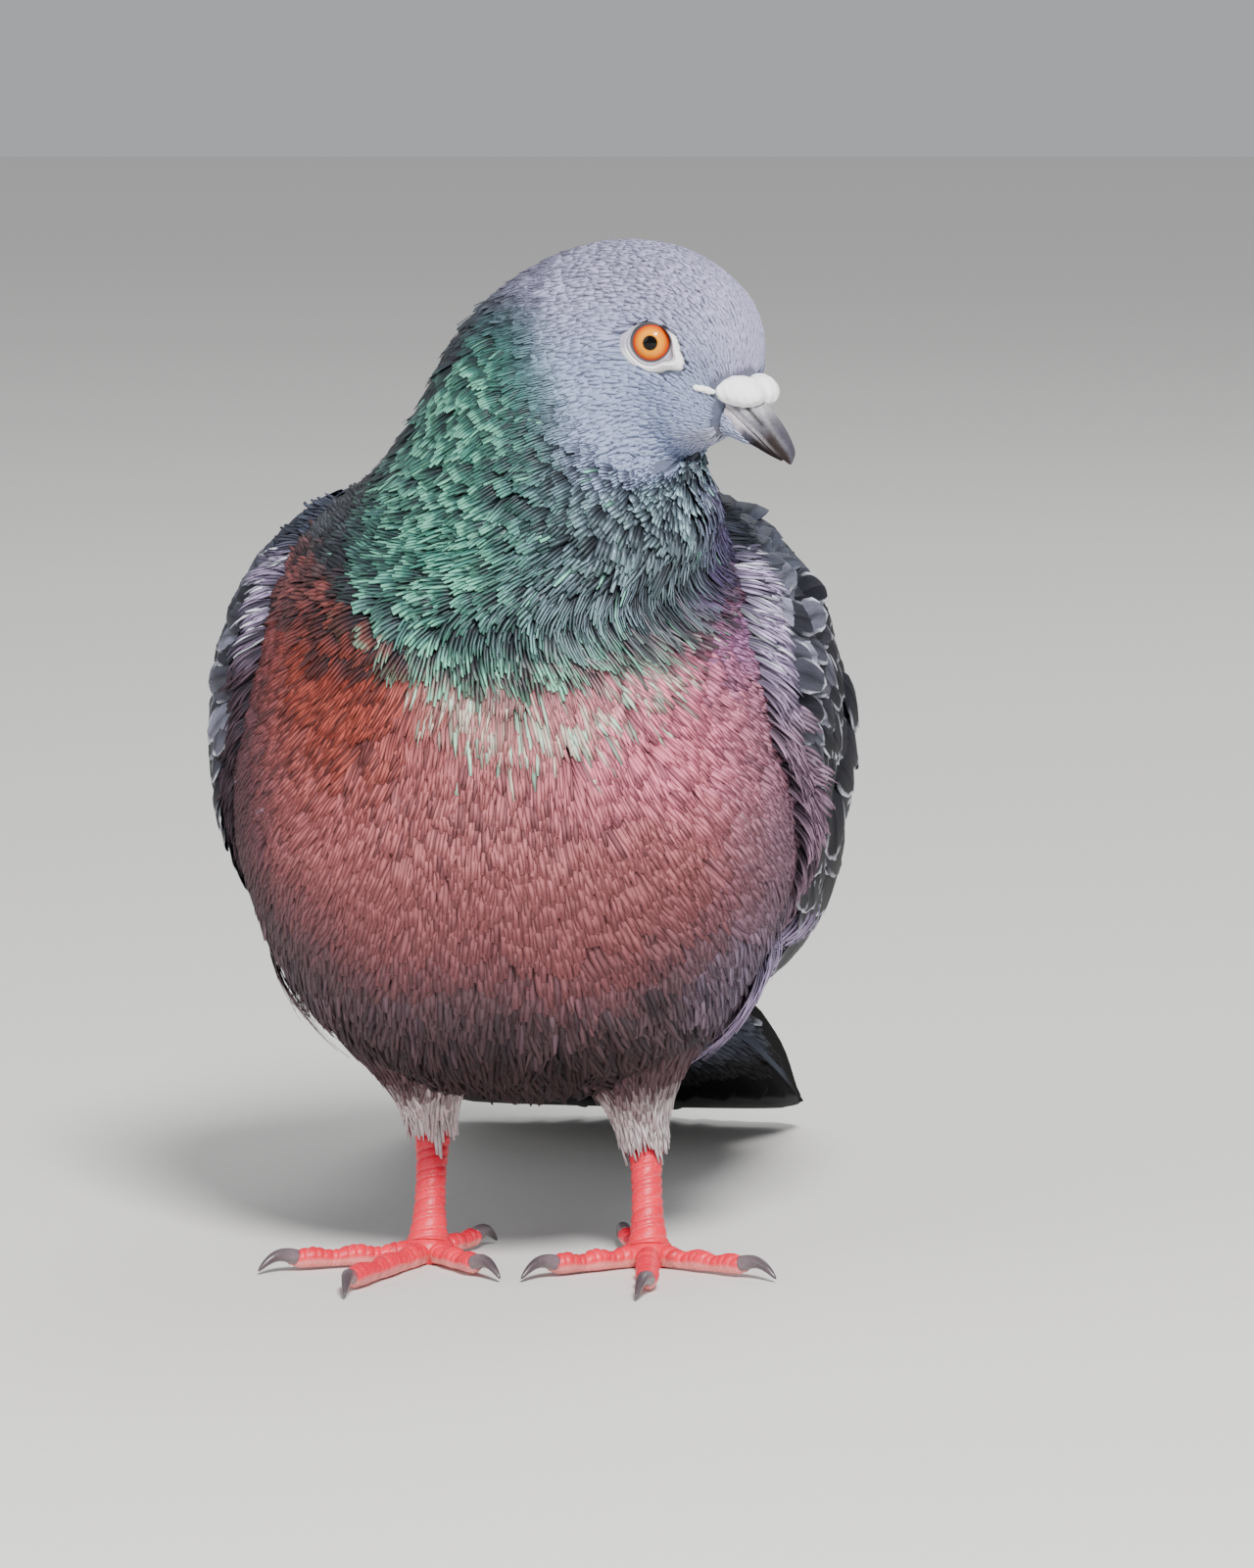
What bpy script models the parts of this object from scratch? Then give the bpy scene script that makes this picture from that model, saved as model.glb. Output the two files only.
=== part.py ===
"""A standing rock dove at life size, as a still museum model, out to the tips of its feathers.

The bird faces -Y with its head turned to its left (+X) and its tail laid back towards +Y. The
body is one loft from the bill to the tail tip, parted by thin cuts. Lengths here are millimetres
until a mesh is written, and the feet stand on the plane z = 0.
"""

import bmesh
import bpy
import numpy as np
from mathutils import Vector
from mathutils.bvhtree import BVHTree

MM = 0.001
GAP = 0.3  # left open between pieces that meet
CUT_SHARE = 0.6  # of the gap taken from each side of a cut, as the lofts' facets bow into it
CUTTER_CLEARANCE = 0.35  # a cutter stands this far off the piece it makes room for
WING_CLEARANCE = 0.6  # and more round a wing, whose sheet is bowed

BODY_SIDES = 26
BODY_STEPS = 2  # rings between two stations
LIMB_SIDES = 10  # round a shank

# The body's middle plane leans this far round from straight ahead, and the head's further.
BODY_YAW = -5.5
TAIL_YAW = -8.0
TAIL_PIVOT = 92.0  # how far back the tail starts to swing aside
HEAD_YAW = 52.0
BODY_MIDDLE = (-3.2, 0.0)  # where the body's middle plane passes between the feet
MID_EYE = np.array([26.0, -18.0, 170.0])  # half way between the eyes

EYE_RADIUS = 4.9
EYE_SPREAD = 8.5  # from the head's middle plane to an eyeball's centre
EYE_AHEAD = 0.7

WING_TIP_FROM = 0.62  # share of the wing's length at which the free primaries start
WING_PARTING = 0.001  # half the cut between them, as a share of that length
TAIL_FROM = 21.0  # station where the tail leaves the rump
FOOT_LEVEL = 1.7  # height of a toe's middle line over the floor


def direction(yaw):
    """(forward, right) of an upright plane turned by yaw degrees from straight ahead."""
    turn = np.radians(yaw)
    forward = np.array([np.sin(turn), -np.cos(turn), 0.0])
    right = np.array([-np.cos(turn), -np.sin(turn), 0.0])
    return forward, right


def in_plane(yaw, origin, ahead, height, aside=0.0):
    """The point so far ahead and to the right of an origin, in a plane turned by yaw."""
    forward, right = direction(yaw)
    point = np.array([origin[0], origin[1], 0.0]) + ahead * forward + aside * right
    return point + np.array([0.0, 0.0, height])


def on_head(ahead, height, aside=0.0):
    return in_plane(HEAD_YAW, MID_EYE, ahead, height, aside)


def on_body(ahead, height, aside=0.0):
    return in_plane(BODY_YAW, BODY_MIDDLE, ahead, height, aside)


def station(back, front, yaw, half_width, widest=0.5):
    """One section of the body: its points on the back and front lines, and where it is widest."""
    return np.concatenate([back, front, [yaw, half_width, widest]])


def head_station(back, front, half_width):
    return station(on_head(*back), on_head(*front), HEAD_YAW, half_width)


def body_station(back, front, half_width, widest=0.5):
    return station(on_body(*back), on_body(*front), BODY_YAW, half_width, widest)


def tail_station(back, front, half_width):
    """A station of the tail, which swings aside from where it leaves the body."""
    pivot = on_body(-TAIL_PIVOT, 0.0)
    ends = (in_plane(TAIL_YAW, pivot, ahead + TAIL_PIVOT, height) for ahead, height in (back, front))
    return station(*ends, TAIL_YAW, half_width)


BODY = np.array([
    # forehead, crown and chin, from the bill's root
    head_station((14.6, 163.6), (10.2, 153.2), 4.3),
    head_station((15.3, 167.5), (8.0, 151.8), 7.0),
    head_station((15.1, 173.0), (5.9, 150.9), 9.2),
    head_station((12.8, 178.1), (4.2, 150.1), 10.9),
    head_station((8.2, 182.1), (2.8, 149.2), 11.8),
    # back of the head and the upper neck, while the body turns under it
    station((26.8, -18.6, 185.5), (27.2, -18.9, 148.4), 51, 12.5),
    station((19.7, -13.1, 186.9), (25.8, -19.8, 147.6), 49, 14.0),
    station((11.8, -7.2, 186.2), (23.6, -23.8, 146.6), 44, 16.4),
    station((4.2, -1.5, 182.4), (20.6, -28.4, 145.3), 37, 19.0),
    station((-1.6, 3.9, 175.4), (17.2, -32.4, 143.5), 29, 21.3),
    station((-3.8, 8.8, 166.0), (14.0, -36.0, 141.0), 20, 23.2),
    station((-3.6, 12.8, 156.5), (10.0, -39.5, 137.5), 10, 26.0),
    station((-3.0, 16.8, 148.0), (4.5, -42.5, 132.0), 0, 31.2),
    # back, breast and belly
    body_station((-22.0, 141.0), (46.5, 121.0), 38.5, 0.55),
    body_station((-30.0, 131.5), (50.5, 107.0), 45.5, 0.57),
    body_station((-38.0, 120.5), (52.0, 91.0), 50.0, 0.56),
    body_station((-46.0, 108.0), (50.0, 75.0), 52.3, 0.53),
    body_station((-54.0, 96.0), (43.0, 59.0), 51.2, 0.49),
    body_station((-62.0, 84.5), (31.0, 45.0), 47.0, 0.45),
    body_station((-69.5, 74.0), (14.0, 34.5), 41.5, 0.43),
    body_station((-77.0, 65.0), (-6.0, 29.5), 35.0, 0.45),
    # vent, tail coverts and tail
    body_station((-84.0, 57.5), (-30.0, 30.0), 27.5),
    body_station((-92.0, 51.0), (-56.0, 32.0), 22.0),
    tail_station((-103.0, 44.0), (-82.0, 29.0), 26.0),
    tail_station((-119.0, 34.0), (-108.0, 22.0), 31.0),
    tail_station((-137.0, 23.0), (-133.0, 14.0), 34.0),
    tail_station((-152.0, 13.5), (-150.5, 7.8), 35.5),
    tail_station((-163.0, 7.2), (-162.5, 4.2), 36.0),
    tail_station((-168.5, 4.6), (-168.5, 2.6), 31.5),
])

# The folded right wing in the body's own plane: (ahead, aside, height), shoulder to tip.
WING_TOP = [
    (-2, 33, 139), (-24, 27, 138), (-50, 20, 114), (-82, 14, 80), (-116, 12, 51), (-147, 11, 28),
]
WING_CREST = [
    (14, 43, 120), (-13, 50, 115), (-43, 49, 89), (-76, 42, 62), (-111, 28, 42), (-150, 15, 25),
]
WING_FOOT = [
    (15, 42, 100), (0, 46, 79), (-27, 46, 60), (-62, 38, 45), (-102, 28, 34), (-151, 18, 22),
]
WING_THICKNESS = [4.0, 7.2, 6.2, 4.4, 2.8, 1.6]
RAY_START = 150.0  # well outside the body
WING_EDGE_THICKNESS = 0.45  # share of that left at the top edge and the foot

# Each leg: the ball of the foot, where the shank meets the feathers, and the toes as
# (claw root, claw tip), inner toe first and the hind toe last.
FEET = {
    "left": {
        "side": 1,
        "ball": (20.3, -2.8),
        "shank_top": (19.8, 4.5, 20.0),
        "toes": [
            ((2.6, -15.5), (-3.6, -22.5)),
            ((20.0, -33.0), (17.6, -43.5)),
            ((37.8, -16.5), (44.2, -22.5)),
            ((16.0, 18.0), (14.6, 25.5)),
        ],
    },
    "right": {
        "side": -1,
        "ball": (-19.7, 1.6),
        "shank_top": (-19.0, 9.0, 21.0),
        "toes": [
            ((-10.6, -15.5), (-5.6, -22.5)),
            ((-33.5, -31.0), (-34.0, -41.5)),
            ((-44.4, -9.0), (-51.2, -14.0)),
            ((-11.0, 16.0), (-6.8, 22.0)),
        ],
    },
}
# The bill in the head's middle plane, from its root to its tip: (ahead, height) and half widths.
CULMEN = [
    (14.9, 163.2), (17.2, 160.4), (19.6, 158.2), (21.8, 156.0), (23.8, 153.4), (25.1, 150.9),
    (24.8, 148.8),
]
MOUTH_TOP = [
    (12.9, 158.9), (15.0, 157.2), (17.2, 155.4), (19.5, 153.6), (21.7, 151.6), (23.5, 150.0),
    (24.5, 148.7),
]
UPPER_WIDTH = [3.9, 3.5, 3.1, 2.8, 2.4, 1.6, 0.25]
MOUTH_LOW = [
    (12.8, 158.4), (14.9, 156.7), (17.0, 154.9), (19.1, 153.2), (21.2, 151.3), (23.0, 149.7),
]
CHIN = [
    (10.6, 153.4), (13.0, 152.9), (15.4, 152.1), (17.8, 151.2), (20.1, 150.2), (22.5, 149.2),
]
LOWER_WIDTH = [3.8, 3.3, 2.8, 2.4, 1.8, 0.5]
CERE_MIDDLE = (15.5, 161.6)
CERE_SPREAD = 2.5
CERE_SIZE = (4.6, 2.2, 2.1)
CERE_SLOPE = (0.76, -0.65)  # the way it lies: ahead and down

TOE_NAMES = ("inner", "middle", "outer", "hind")
TOE_RADIUS = (1.7, 1.85, 1.65, 1.5)
TOE_FROM = 3.0  # a toe starts this far from the ball's middle, and the ball is cut out of it
CLAW_RADIUS = 1.45
CLAW_TIP_RADIUS = 0.22
THIGH_TOP = (-4.0, 50.0, 18.5)  # ahead, height and aside in the body's plane
THIGH_RADII = (20.0, 16.0, 10.2, 6.0, 4.5)
SHANK_RADIUS = 2.55
ANKLE_HEIGHT = 3.4
PAD_SIZE = (4.8, 4.8, 3.4)
PAD_HEIGHT = 2.3


def linear(hex_colour):
    """An sRGB hex colour as linear red, green, blue and alpha."""
    parts = np.array([int(hex_colour[i : i + 2], 16) for i in (1, 3, 5)]) / 255
    low = parts / 12.92
    high = ((parts + 0.055) / 1.055) ** 2.4
    return (*np.where(parts <= 0.04045, low, high), 1.0)


def material(name, colour, roughness, metallic=0.0):
    made = bpy.data.materials.new(name)
    made.use_nodes = True
    shader = made.node_tree.nodes["Principled BSDF"]
    shader.inputs["Base Color"].default_value = linear(colour)
    shader.inputs["Roughness"].default_value = roughness
    shader.inputs["Metallic"].default_value = metallic
    made.diffuse_color = linear(colour)
    return made


def smooth(values, at):
    """A Catmull-Rom curve through the rows of values, read at station numbers."""
    rows = np.asarray(values, float)
    rows = rows[:, None] if rows.ndim == 1 else rows
    at = np.atleast_1d(np.asarray(at, float))
    start = np.clip(np.floor(at).astype(int), 0, len(rows) - 2)
    t = (at - start)[:, None]
    padded = np.concatenate([[2 * rows[0] - rows[1]], rows, [2 * rows[-1] - rows[-2]]])
    a, b, c, d = (padded[start + k] for k in range(4))
    return 0.5 * (
        2 * b + (c - a) * t + (2 * a - 5 * b + 4 * c - d) * t**2 + (3 * b - a - 3 * c + d) * t**3
    )


def add_mesh(name, points, faces, look, parent):
    """One object from points in millimetres; its mesh is smooth but for sharp folds."""
    mesh = bpy.data.meshes.new(name)
    mesh.from_pydata([tuple(p) for p in np.asarray(points) * MM], [], faces)
    worked = bmesh.new()
    worked.from_mesh(mesh)
    bmesh.ops.triangulate(worked, faces=[f for f in worked.faces if len(f.verts) > 4])
    bmesh.ops.recalc_face_normals(worked, faces=worked.faces)
    worked.to_mesh(mesh)
    worked.free()
    mesh.shade_smooth()
    mesh.set_sharp_from_angle(angle=np.radians(50))
    mesh.materials.append(look)
    made = bpy.data.objects.new(name, mesh)
    bpy.context.scene.collection.objects.link(made)
    made.parent = parent
    return made


def add_loft(name, rings, look, parent):
    """A closed skin over rings of equal count, with a fan over each end."""
    rings = np.asarray(rings, float)
    count, sides = rings.shape[:2]
    points = np.concatenate([rings.reshape(-1, 3), [rings[0].mean(0), rings[-1].mean(0)]])
    first_pole, last_pole = count * sides, count * sides + 1
    faces = []
    for side in range(sides):
        after = (side + 1) % sides
        faces.append((after, side, first_pole))
        end = (count - 1) * sides
        faces.append((end + side, end + after, last_pole))
        for ring in range(count - 1):
            here, beyond = ring * sides, (ring + 1) * sides
            faces.append((here + side, here + after, beyond + after, beyond + side))
    return add_mesh(name, points, faces, look, parent)


def add_slab(name, outer, inner, look, parent):
    """A closed sheet between two grids of points, walled along its four edges."""
    rows, columns = outer.shape[:2]
    points = np.concatenate([outer.reshape(-1, 3), inner.reshape(-1, 3)])
    shift = rows * columns
    faces = []
    for row in range(rows - 1):
        for column in range(columns - 1):
            corner = row * columns + column
            beyond = corner + columns
            for face in ((corner, corner + 1, beyond + 1), (corner, beyond + 1, beyond)):
                faces.append(face)
                faces.append(tuple(i + shift for i in reversed(face)))
    rim = list(range(columns))
    rim += [r * columns + columns - 1 for r in range(1, rows)]
    rim += [(rows - 1) * columns + c for c in range(columns - 2, -1, -1)]
    rim += [r * columns for r in range(rows - 2, 0, -1)]
    for here, after in zip(rim, rim[1:] + rim[:1]):
        faces.append((after, here, here + shift, after + shift))
    return add_mesh(name, points, faces, look, parent)


def body_rings(first, last, swell=0.0, sides=BODY_SIDES):
    """Rings of the body between two station numbers, each grown outwards by swell."""
    count = max(2, int(round((last - first) * BODY_STEPS)) + 1)
    rows = smooth(BODY, np.linspace(first, last, count))
    around = np.linspace(0, 2 * np.pi, sides, endpoint=False)
    rings = []
    for row in rows:
        back, front, (yaw, half_width, widest) = row[:3], row[3:6], row[6:]
        outwards = (back - front) / np.linalg.norm(back - front)
        back, front = back + outwards * swell, front - outwards * swell
        right = direction(yaw)[1]
        middle = front + widest * (back - front)
        rise = np.sin(around)[:, None]
        along = np.where(rise > 0, rise * (back - middle), rise * (middle - front))
        rings.append(middle + along + np.cos(around)[:, None] * right * (half_width + swell))
    return np.array(rings)


def cut(target, cutter):
    """Takes the cutter's shape out of the target, and leaves the cutter out of the model."""
    cutter.hide_render = True
    cutter.display_type = "WIRE"
    cutter.hide_set(True)
    trim = target.modifiers.new(cutter.name, "BOOLEAN")
    trim.operation = "DIFFERENCE"
    trim.solver = "EXACT"
    trim.object = cutter


def add_body(looks, parent):
    """The flesh and its coat from the forehead to the tail, in lengths that meet at thin cuts."""
    pieces = (
        ("head", 0.0, 7.3, looks["head"]),
        ("neck_upper", 7.3, 10.5, looks["neck"]),
        ("neck_lower", 10.5, 13.0, looks["neck"]),
        ("breast", 13.0, 16.5, looks["breast"]),
        ("belly", 16.5, 19.5, looks["belly"]),
        ("rump", 19.5, TAIL_FROM, looks["rump"]),
        ("tail", TAIL_FROM, len(BODY) - 1.0, looks["tail"]),
    )
    made = {}
    for name, first, last, look in pieces:
        start = first if first == 0.0 else first + part_step(first)
        end = last if last == len(BODY) - 1.0 else last - part_step(last)
        made[name] = add_loft(name, body_rings(start, end), look, parent)
    return made


def part_step(at):
    """Half a cut's width in station numbers, so that its narrow side is still a gap wide."""
    span = 0.2
    here, beyond = smooth(BODY, [at - span / 2, at + span / 2])
    travel = min(np.linalg.norm(beyond[:3] - here[:3]), np.linalg.norm(beyond[3:6] - here[3:6]))
    return CUT_SHARE * GAP * span / travel


def wing_grids(side, swell, trunk, first, last, rows, columns):
    """The wing's outer and inner faces: a bowed sheet from its top edge over a crest to its foot.

    A point that would sink into the trunk is pushed out sideways until the sheet lies on it.
    """
    ends = len(WING_TOP) - 1
    at = np.linspace(first * ends, last * ends, rows)
    top, crest, foot = (smooth(line, at) for line in (WING_TOP, WING_CREST, WING_FOOT))
    thickness = smooth(WING_THICKNESS, at)
    across = np.linspace(0, 1, columns)[None, :, None]
    knee = 2 * crest - (top + foot) / 2
    sheet = (
        (1 - across) ** 2 * top[:, None]
        + 2 * across * (1 - across) * knee[:, None]
        + across**2 * foot[:, None]
    )
    forward, right = direction(BODY_YAW)
    outwards = right * (1 if side < 0 else -1)
    grid = (
        sheet[..., :1] * forward + sheet[..., 1:2] * outwards + sheet[..., 2:] * np.array([0, 0, 1.0])
    )
    bulge = np.sin(np.pi * np.linspace(0, 1, columns))
    full = thickness * (WING_EDGE_THICKNESS + (1 - WING_EDGE_THICKNESS) * bulge)[None, :]
    for row in range(rows):
        for column in range(columns):
            point = grid[row, column]
            level = point @ outwards
            start = point + outwards * (RAY_START - level)
            hit = trunk.ray_cast(Vector(start), Vector(-outwards))
            if hit[0] is None:
                continue
            need = np.array(hit[0]) @ outwards + GAP + full[row, column] / 2
            grid[row, column] = point + outwards * max(0.0, need - level)
    along = np.gradient(grid, axis=0)
    over = np.gradient(grid, axis=1)
    normal = np.cross(along, over)
    normal /= np.linalg.norm(normal, axis=2, keepdims=True)
    normal *= np.sign((normal @ outwards).mean())
    half = (full / 2 + swell)[..., None]
    along /= np.linalg.norm(along, axis=2, keepdims=True)
    over /= np.linalg.norm(over, axis=2, keepdims=True)
    grid[:, 0] -= over[:, 0] * swell
    grid[:, -1] += over[:, -1] * swell
    grid[0] -= along[0] * swell
    grid[-1] += along[-1] * swell
    return grid + normal * half, grid - normal * half


def trunk_surface():
    """The neck, trunk and tail as a tree that a ray can be cast at."""
    rings = body_rings(9.0, len(BODY) - 1.0)
    count, sides = rings.shape[:2]
    quads = []
    for ring in range(count - 1):
        for side in range(sides):
            after = (side + 1) % sides
            here, beyond = ring * sides, (ring + 1) * sides
            quads.append((here + side, here + after, beyond + after, beyond + side))
    return BVHTree.FromPolygons([Vector(p) for p in rings.reshape(-1, 3)], quads)


def add_wings(looks, parent, body):
    """Both wings, each as the covert-clad arm and the free primaries beyond it."""
    trunk = trunk_surface()
    spans = (
        ("wing", 0.0, WING_TIP_FROM - WING_PARTING, 12, 9),
        ("primaries", WING_TIP_FROM + WING_PARTING, 1.0, 7, 7),
    )
    for end, side in (("left", 1), ("right", -1)):
        for name, first, last, rows, columns in spans:
            grids = wing_grids(side, 0.0, trunk, first, last, rows, columns)
            add_slab(f"{name}_{end}", *grids, looks[name], parent)
            grids = wing_grids(side, WING_CLEARANCE, trunk, first, last, rows, columns)
            cutter = add_slab(f"cutter_{name}_{end}", *grids, looks[name], parent)
            for piece in ("neck_lower", "breast", "belly", "rump", "tail"):
                cut(body[piece], cutter)


def add_ball(name, centre, radius, look, parent, segments=16):
    """A globe of the given radius."""
    made = add_mesh(name, [(0, 0, 0)], [], look, parent)
    worked = bmesh.new()
    bmesh.ops.create_uvsphere(
        worked, u_segments=segments, v_segments=segments // 2, radius=radius * MM
    )
    bmesh.ops.translate(worked, verts=worked.verts, vec=Vector(np.asarray(centre) * MM))
    worked.to_mesh(made.data)
    worked.free()
    made.data.shade_smooth()
    return made


def add_eyes(looks, parent, head):
    """The eyeballs, each in a socket cut from the head."""
    for name, side in (("right", 1), ("left", -1)):
        centre = on_head(EYE_AHEAD, MID_EYE[2], side * EYE_SPREAD)
        add_ball(f"eye_{name}", centre, EYE_RADIUS, looks["eye"], parent)
        room = EYE_RADIUS + CUTTER_CLEARANCE
        socket = add_ball(f"socket_{name}", centre, room, looks["eye"], parent)
        cut(head, socket)


def half_ring(top, bottom, half_width, arch_up, swell=0.0, sides=7):
    """A bill's section: an arch over a flat mouth line, or hung below it."""
    turn = np.linspace(0, np.pi, sides)
    top, bottom = np.asarray(top, float), np.asarray(bottom, float)
    outwards = (top - bottom) / max(np.linalg.norm(top - bottom), 0.1) * swell
    top, bottom = top + outwards, bottom - outwards
    base, crown = (bottom, top) if arch_up else (top, bottom)
    points = [
        on_head(*(base + np.sin(t) * (crown - base)), aside=(half_width + swell) * np.cos(t))
        for t in turn
    ]
    return np.array(points)


def bill_rings(top, bottom, half_widths, arch_up, swell=0.0):
    """A bill's sections from its root to its tip."""
    at = np.linspace(0, len(top) - 1, 2 * len(top) - 1)
    sections = zip(smooth(top, at), smooth(bottom, at), smooth(half_widths, at)[:, 0])
    return [half_ring(high, low, wide, arch_up, swell) for high, low, wide in sections]


def add_cere_lobe(name, side, grown, look, parent):
    """One lobe of the cere: an egg that lies along the root of the upper bill."""
    lobe = add_ball(name, (0, 0, 0), 1.0, look, parent, segments=12)
    forward, right = direction(HEAD_YAW)
    along = forward * CERE_SLOPE[0] + np.array([0.0, 0.0, CERE_SLOPE[1]])
    axes = np.array([along, right, np.cross(along, right)])
    sizes = np.array(CERE_SIZE) + grown
    points = np.empty(len(lobe.data.vertices) * 3)
    lobe.data.vertices.foreach_get("co", points)
    shaped = (points.reshape(-1, 3) / MM * sizes) @ axes + on_head(*CERE_MIDDLE, side * CERE_SPREAD)
    lobe.data.vertices.foreach_set("co", (shaped * MM).ravel())
    return lobe


def add_bill(looks, parent, head):
    """Upper bill, lower bill and the two swollen lobes of the cere over the nostrils."""
    rings = bill_rings(CULMEN, MOUTH_TOP, UPPER_WIDTH, True)
    add_loft("bill_upper", rings, looks["bill"], parent)
    rings = bill_rings(MOUTH_LOW, CHIN, LOWER_WIDTH, False)
    add_loft("bill_lower", rings, looks["bill"], parent)
    rings = bill_rings(CULMEN, MOUTH_TOP, UPPER_WIDTH, True, CUTTER_CLEARANCE)
    room = add_loft("cutter_bill", rings, looks["bill"], parent)
    for name, side in (("right", 1), ("left", -1)):
        lobe = add_cere_lobe(f"cere_{name}", side, 0.0, looks["cere"], parent)
        cut(lobe, room)
        nest = add_cere_lobe(f"cutter_cere_{name}", side, CUTTER_CLEARANCE, looks["cere"], parent)
        cut(head, nest)


def tube_rings(path, radii, sides=LIMB_SIDES, floor=None):
    """Rings square to a path; below the floor level they are pressed flat."""
    path = np.asarray(path, float)
    along = np.gradient(path, axis=0)
    along /= np.linalg.norm(along, axis=1, keepdims=True)
    guide = np.array([0.0, 0.0, 1.0]) if np.abs(along[:, 2]).mean() < 0.7 else np.array([0.0, 1.0, 0.0])
    aside = np.cross(along, guide)
    aside /= np.linalg.norm(aside, axis=1, keepdims=True)
    upwards = np.cross(aside, along)
    around = np.linspace(0, 2 * np.pi, sides, endpoint=False) + np.pi / sides
    rings = (
        path[:, None]
        + np.cos(around)[None, :, None] * aside[:, None] * np.asarray(radii)[:, None, None]
        + np.sin(around)[None, :, None] * upwards[:, None] * np.asarray(radii)[:, None, None]
    )
    if floor is not None:
        rings[..., 2] = np.maximum(rings[..., 2], floor)
    return rings


def add_leg(name, leg, looks, parent, belly_cutter):
    """A feathered thigh, a bare shank, four toes and their claws."""
    side, ball, shank_top = leg["side"], leg["ball"], np.array(leg["shank_top"])
    high = on_body(THIGH_TOP[0], THIGH_TOP[1], -side * THIGH_TOP[2])
    share = np.linspace(0, 1, len(THIGH_RADII))
    path = high + share[:, None] * (shank_top - high)
    rings = tube_rings(path, THIGH_RADII, sides=14)
    rings[-1, :, 2] = shank_top[2]
    thigh = add_loft(f"thigh_{name}", rings, looks["thigh"], parent)
    cut(thigh, belly_cutter)

    low = np.array([*ball, ANKLE_HEIGHT])
    share = np.linspace(0, 1, 7)
    path = shank_top + share[:, None] * (low - shank_top)
    # The shank is thinnest a little above its middle and widest at the ankle.
    radii = SHANK_RADIUS + 0.75 * np.abs(2 * share - 0.8) ** 2.5
    rings = tube_rings(path, radii)
    rings[0, :, 2] = shank_top[2] - GAP
    shank = add_loft(f"shank_{name}", rings, looks["leg"], parent)

    pad = add_pad(f"pad_{name}", ball, 0.0, looks["leg"], parent)
    room = add_pad(f"cutter_pad_{name}", ball, CUTTER_CLEARANCE, looks["leg"], parent)
    cut(shank, room)
    for toe, (root, tip), radius in zip(TOE_NAMES, leg["toes"], TOE_RADIUS):
        made = add_toe(f"{toe}_{name}", ball, np.array(root), np.array(tip), radius, looks, parent)
        cut(made, room)


def add_pad(name, ball, grown, look, parent):
    """The ball of the foot: a squat globe pressed flat on the floor."""
    pad = add_ball(name, (0, 0, 0), 1.0, look, parent, segments=12)
    points = np.empty(len(pad.data.vertices) * 3)
    pad.data.vertices.foreach_get("co", points)
    globe = points.reshape(-1, 3) / MM * (np.array(PAD_SIZE) + grown) + (*ball, PAD_HEIGHT)
    globe[:, 2] = np.maximum(globe[:, 2], -grown)
    pad.data.vertices.foreach_set("co", (globe * MM).ravel())
    return pad


def add_toe(name, ball, root, tip, radius, looks, parent):
    """A toe from the ball of the foot to the claw's root, and the claw beyond it."""
    ball = np.array(ball, float)
    reach = root - ball
    length = np.linalg.norm(reach)
    start = ball + reach / length * TOE_FROM
    share = np.linspace(0, 1, 8)
    path = np.empty((8, 3))
    path[:, :2] = start + share[:, None] * (root - start)
    # Three joints make the toe rise and swell along its length.
    path[:, 2] = FOOT_LEVEL + 0.35 * np.sin(share * np.pi * 3) ** 2 + 0.3 * share
    radii = radius * (1.02 - 0.1 * share - 0.1 * np.cos(share * np.pi * 6))
    toe = add_loft(f"toe_{name}", tube_rings(path, radii, sides=8, floor=0.0), looks["leg"], parent)

    share = np.linspace(0, 1, 6)
    path = np.empty((6, 3))
    ahead = (root - ball) / length
    begin = root + ahead * CUTTER_CLEARANCE
    path[:, :2] = begin + share[:, None] * (tip - begin)
    # A claw leaves the toe's top half, rises a little and curves down to its tip.
    path[:, 2] = FOOT_LEVEL + 0.9 + 1.1 * np.sin(share * np.pi * 0.9) - 2.2 * share**2
    claw_radii = CLAW_RADIUS * (1 - share) ** 0.75 + CLAW_TIP_RADIUS
    rings = tube_rings(path, claw_radii, sides=8, floor=0.0)
    # The claw's root lies flat against the toe's end.
    rings[0, :, :2] -= ((rings[0, :, :2] - begin) @ ahead)[:, None] * ahead
    add_loft(f"claw_{name}", rings, looks["claw"], parent)
    return toe


def add_materials():
    return {
        "head": material("blue_grey_down", "#8F98AE", 0.75),
        "neck": material("green_hackle", "#4FA58A", 0.45),
        "breast": material("wine_breast", "#B07A78", 0.75),
        "belly": material("dusky_belly", "#5A4E52", 0.8),
        "rump": material("slate_rump", "#5A6478", 0.75),
        "tail": material("dark_tail", "#2C2E36", 0.6),
        "wing": material("grey_coverts", "#7A8090", 0.65),
        "primaries": material("dark_primaries", "#2E3038", 0.55),
        "thigh": material("pale_thigh", "#CFC8C4", 0.8),
        "leg": material("coral_scales", "#E8475A", 0.4),
        "claw": material("grey_claw", "#6B6068", 0.3),
        "bill": material("dark_bill", "#4A4648", 0.35),
        "cere": material("white_cere", "#F0EEEC", 0.5),
        "eye": material("orange_eye", "#FF8A20", 0.1),
    }


def set_on_origin(parent):
    """Moves the whole bird so that its box stands with the middle of its base on the origin."""
    bpy.context.view_layer.update()
    graph = bpy.context.evaluated_depsgraph_get()
    corners = []
    for made in bpy.context.scene.objects:
        if made.type == "MESH" and not made.hide_render:
            whole = made.evaluated_get(graph)
            corners += [whole.matrix_world @ Vector(corner) for corner in whole.bound_box]
    box = np.array(corners)
    middle = (box.min(0) + box.max(0)) / 2
    parent.location = (-middle[0], -middle[1], -box.min(0)[2])


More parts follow.
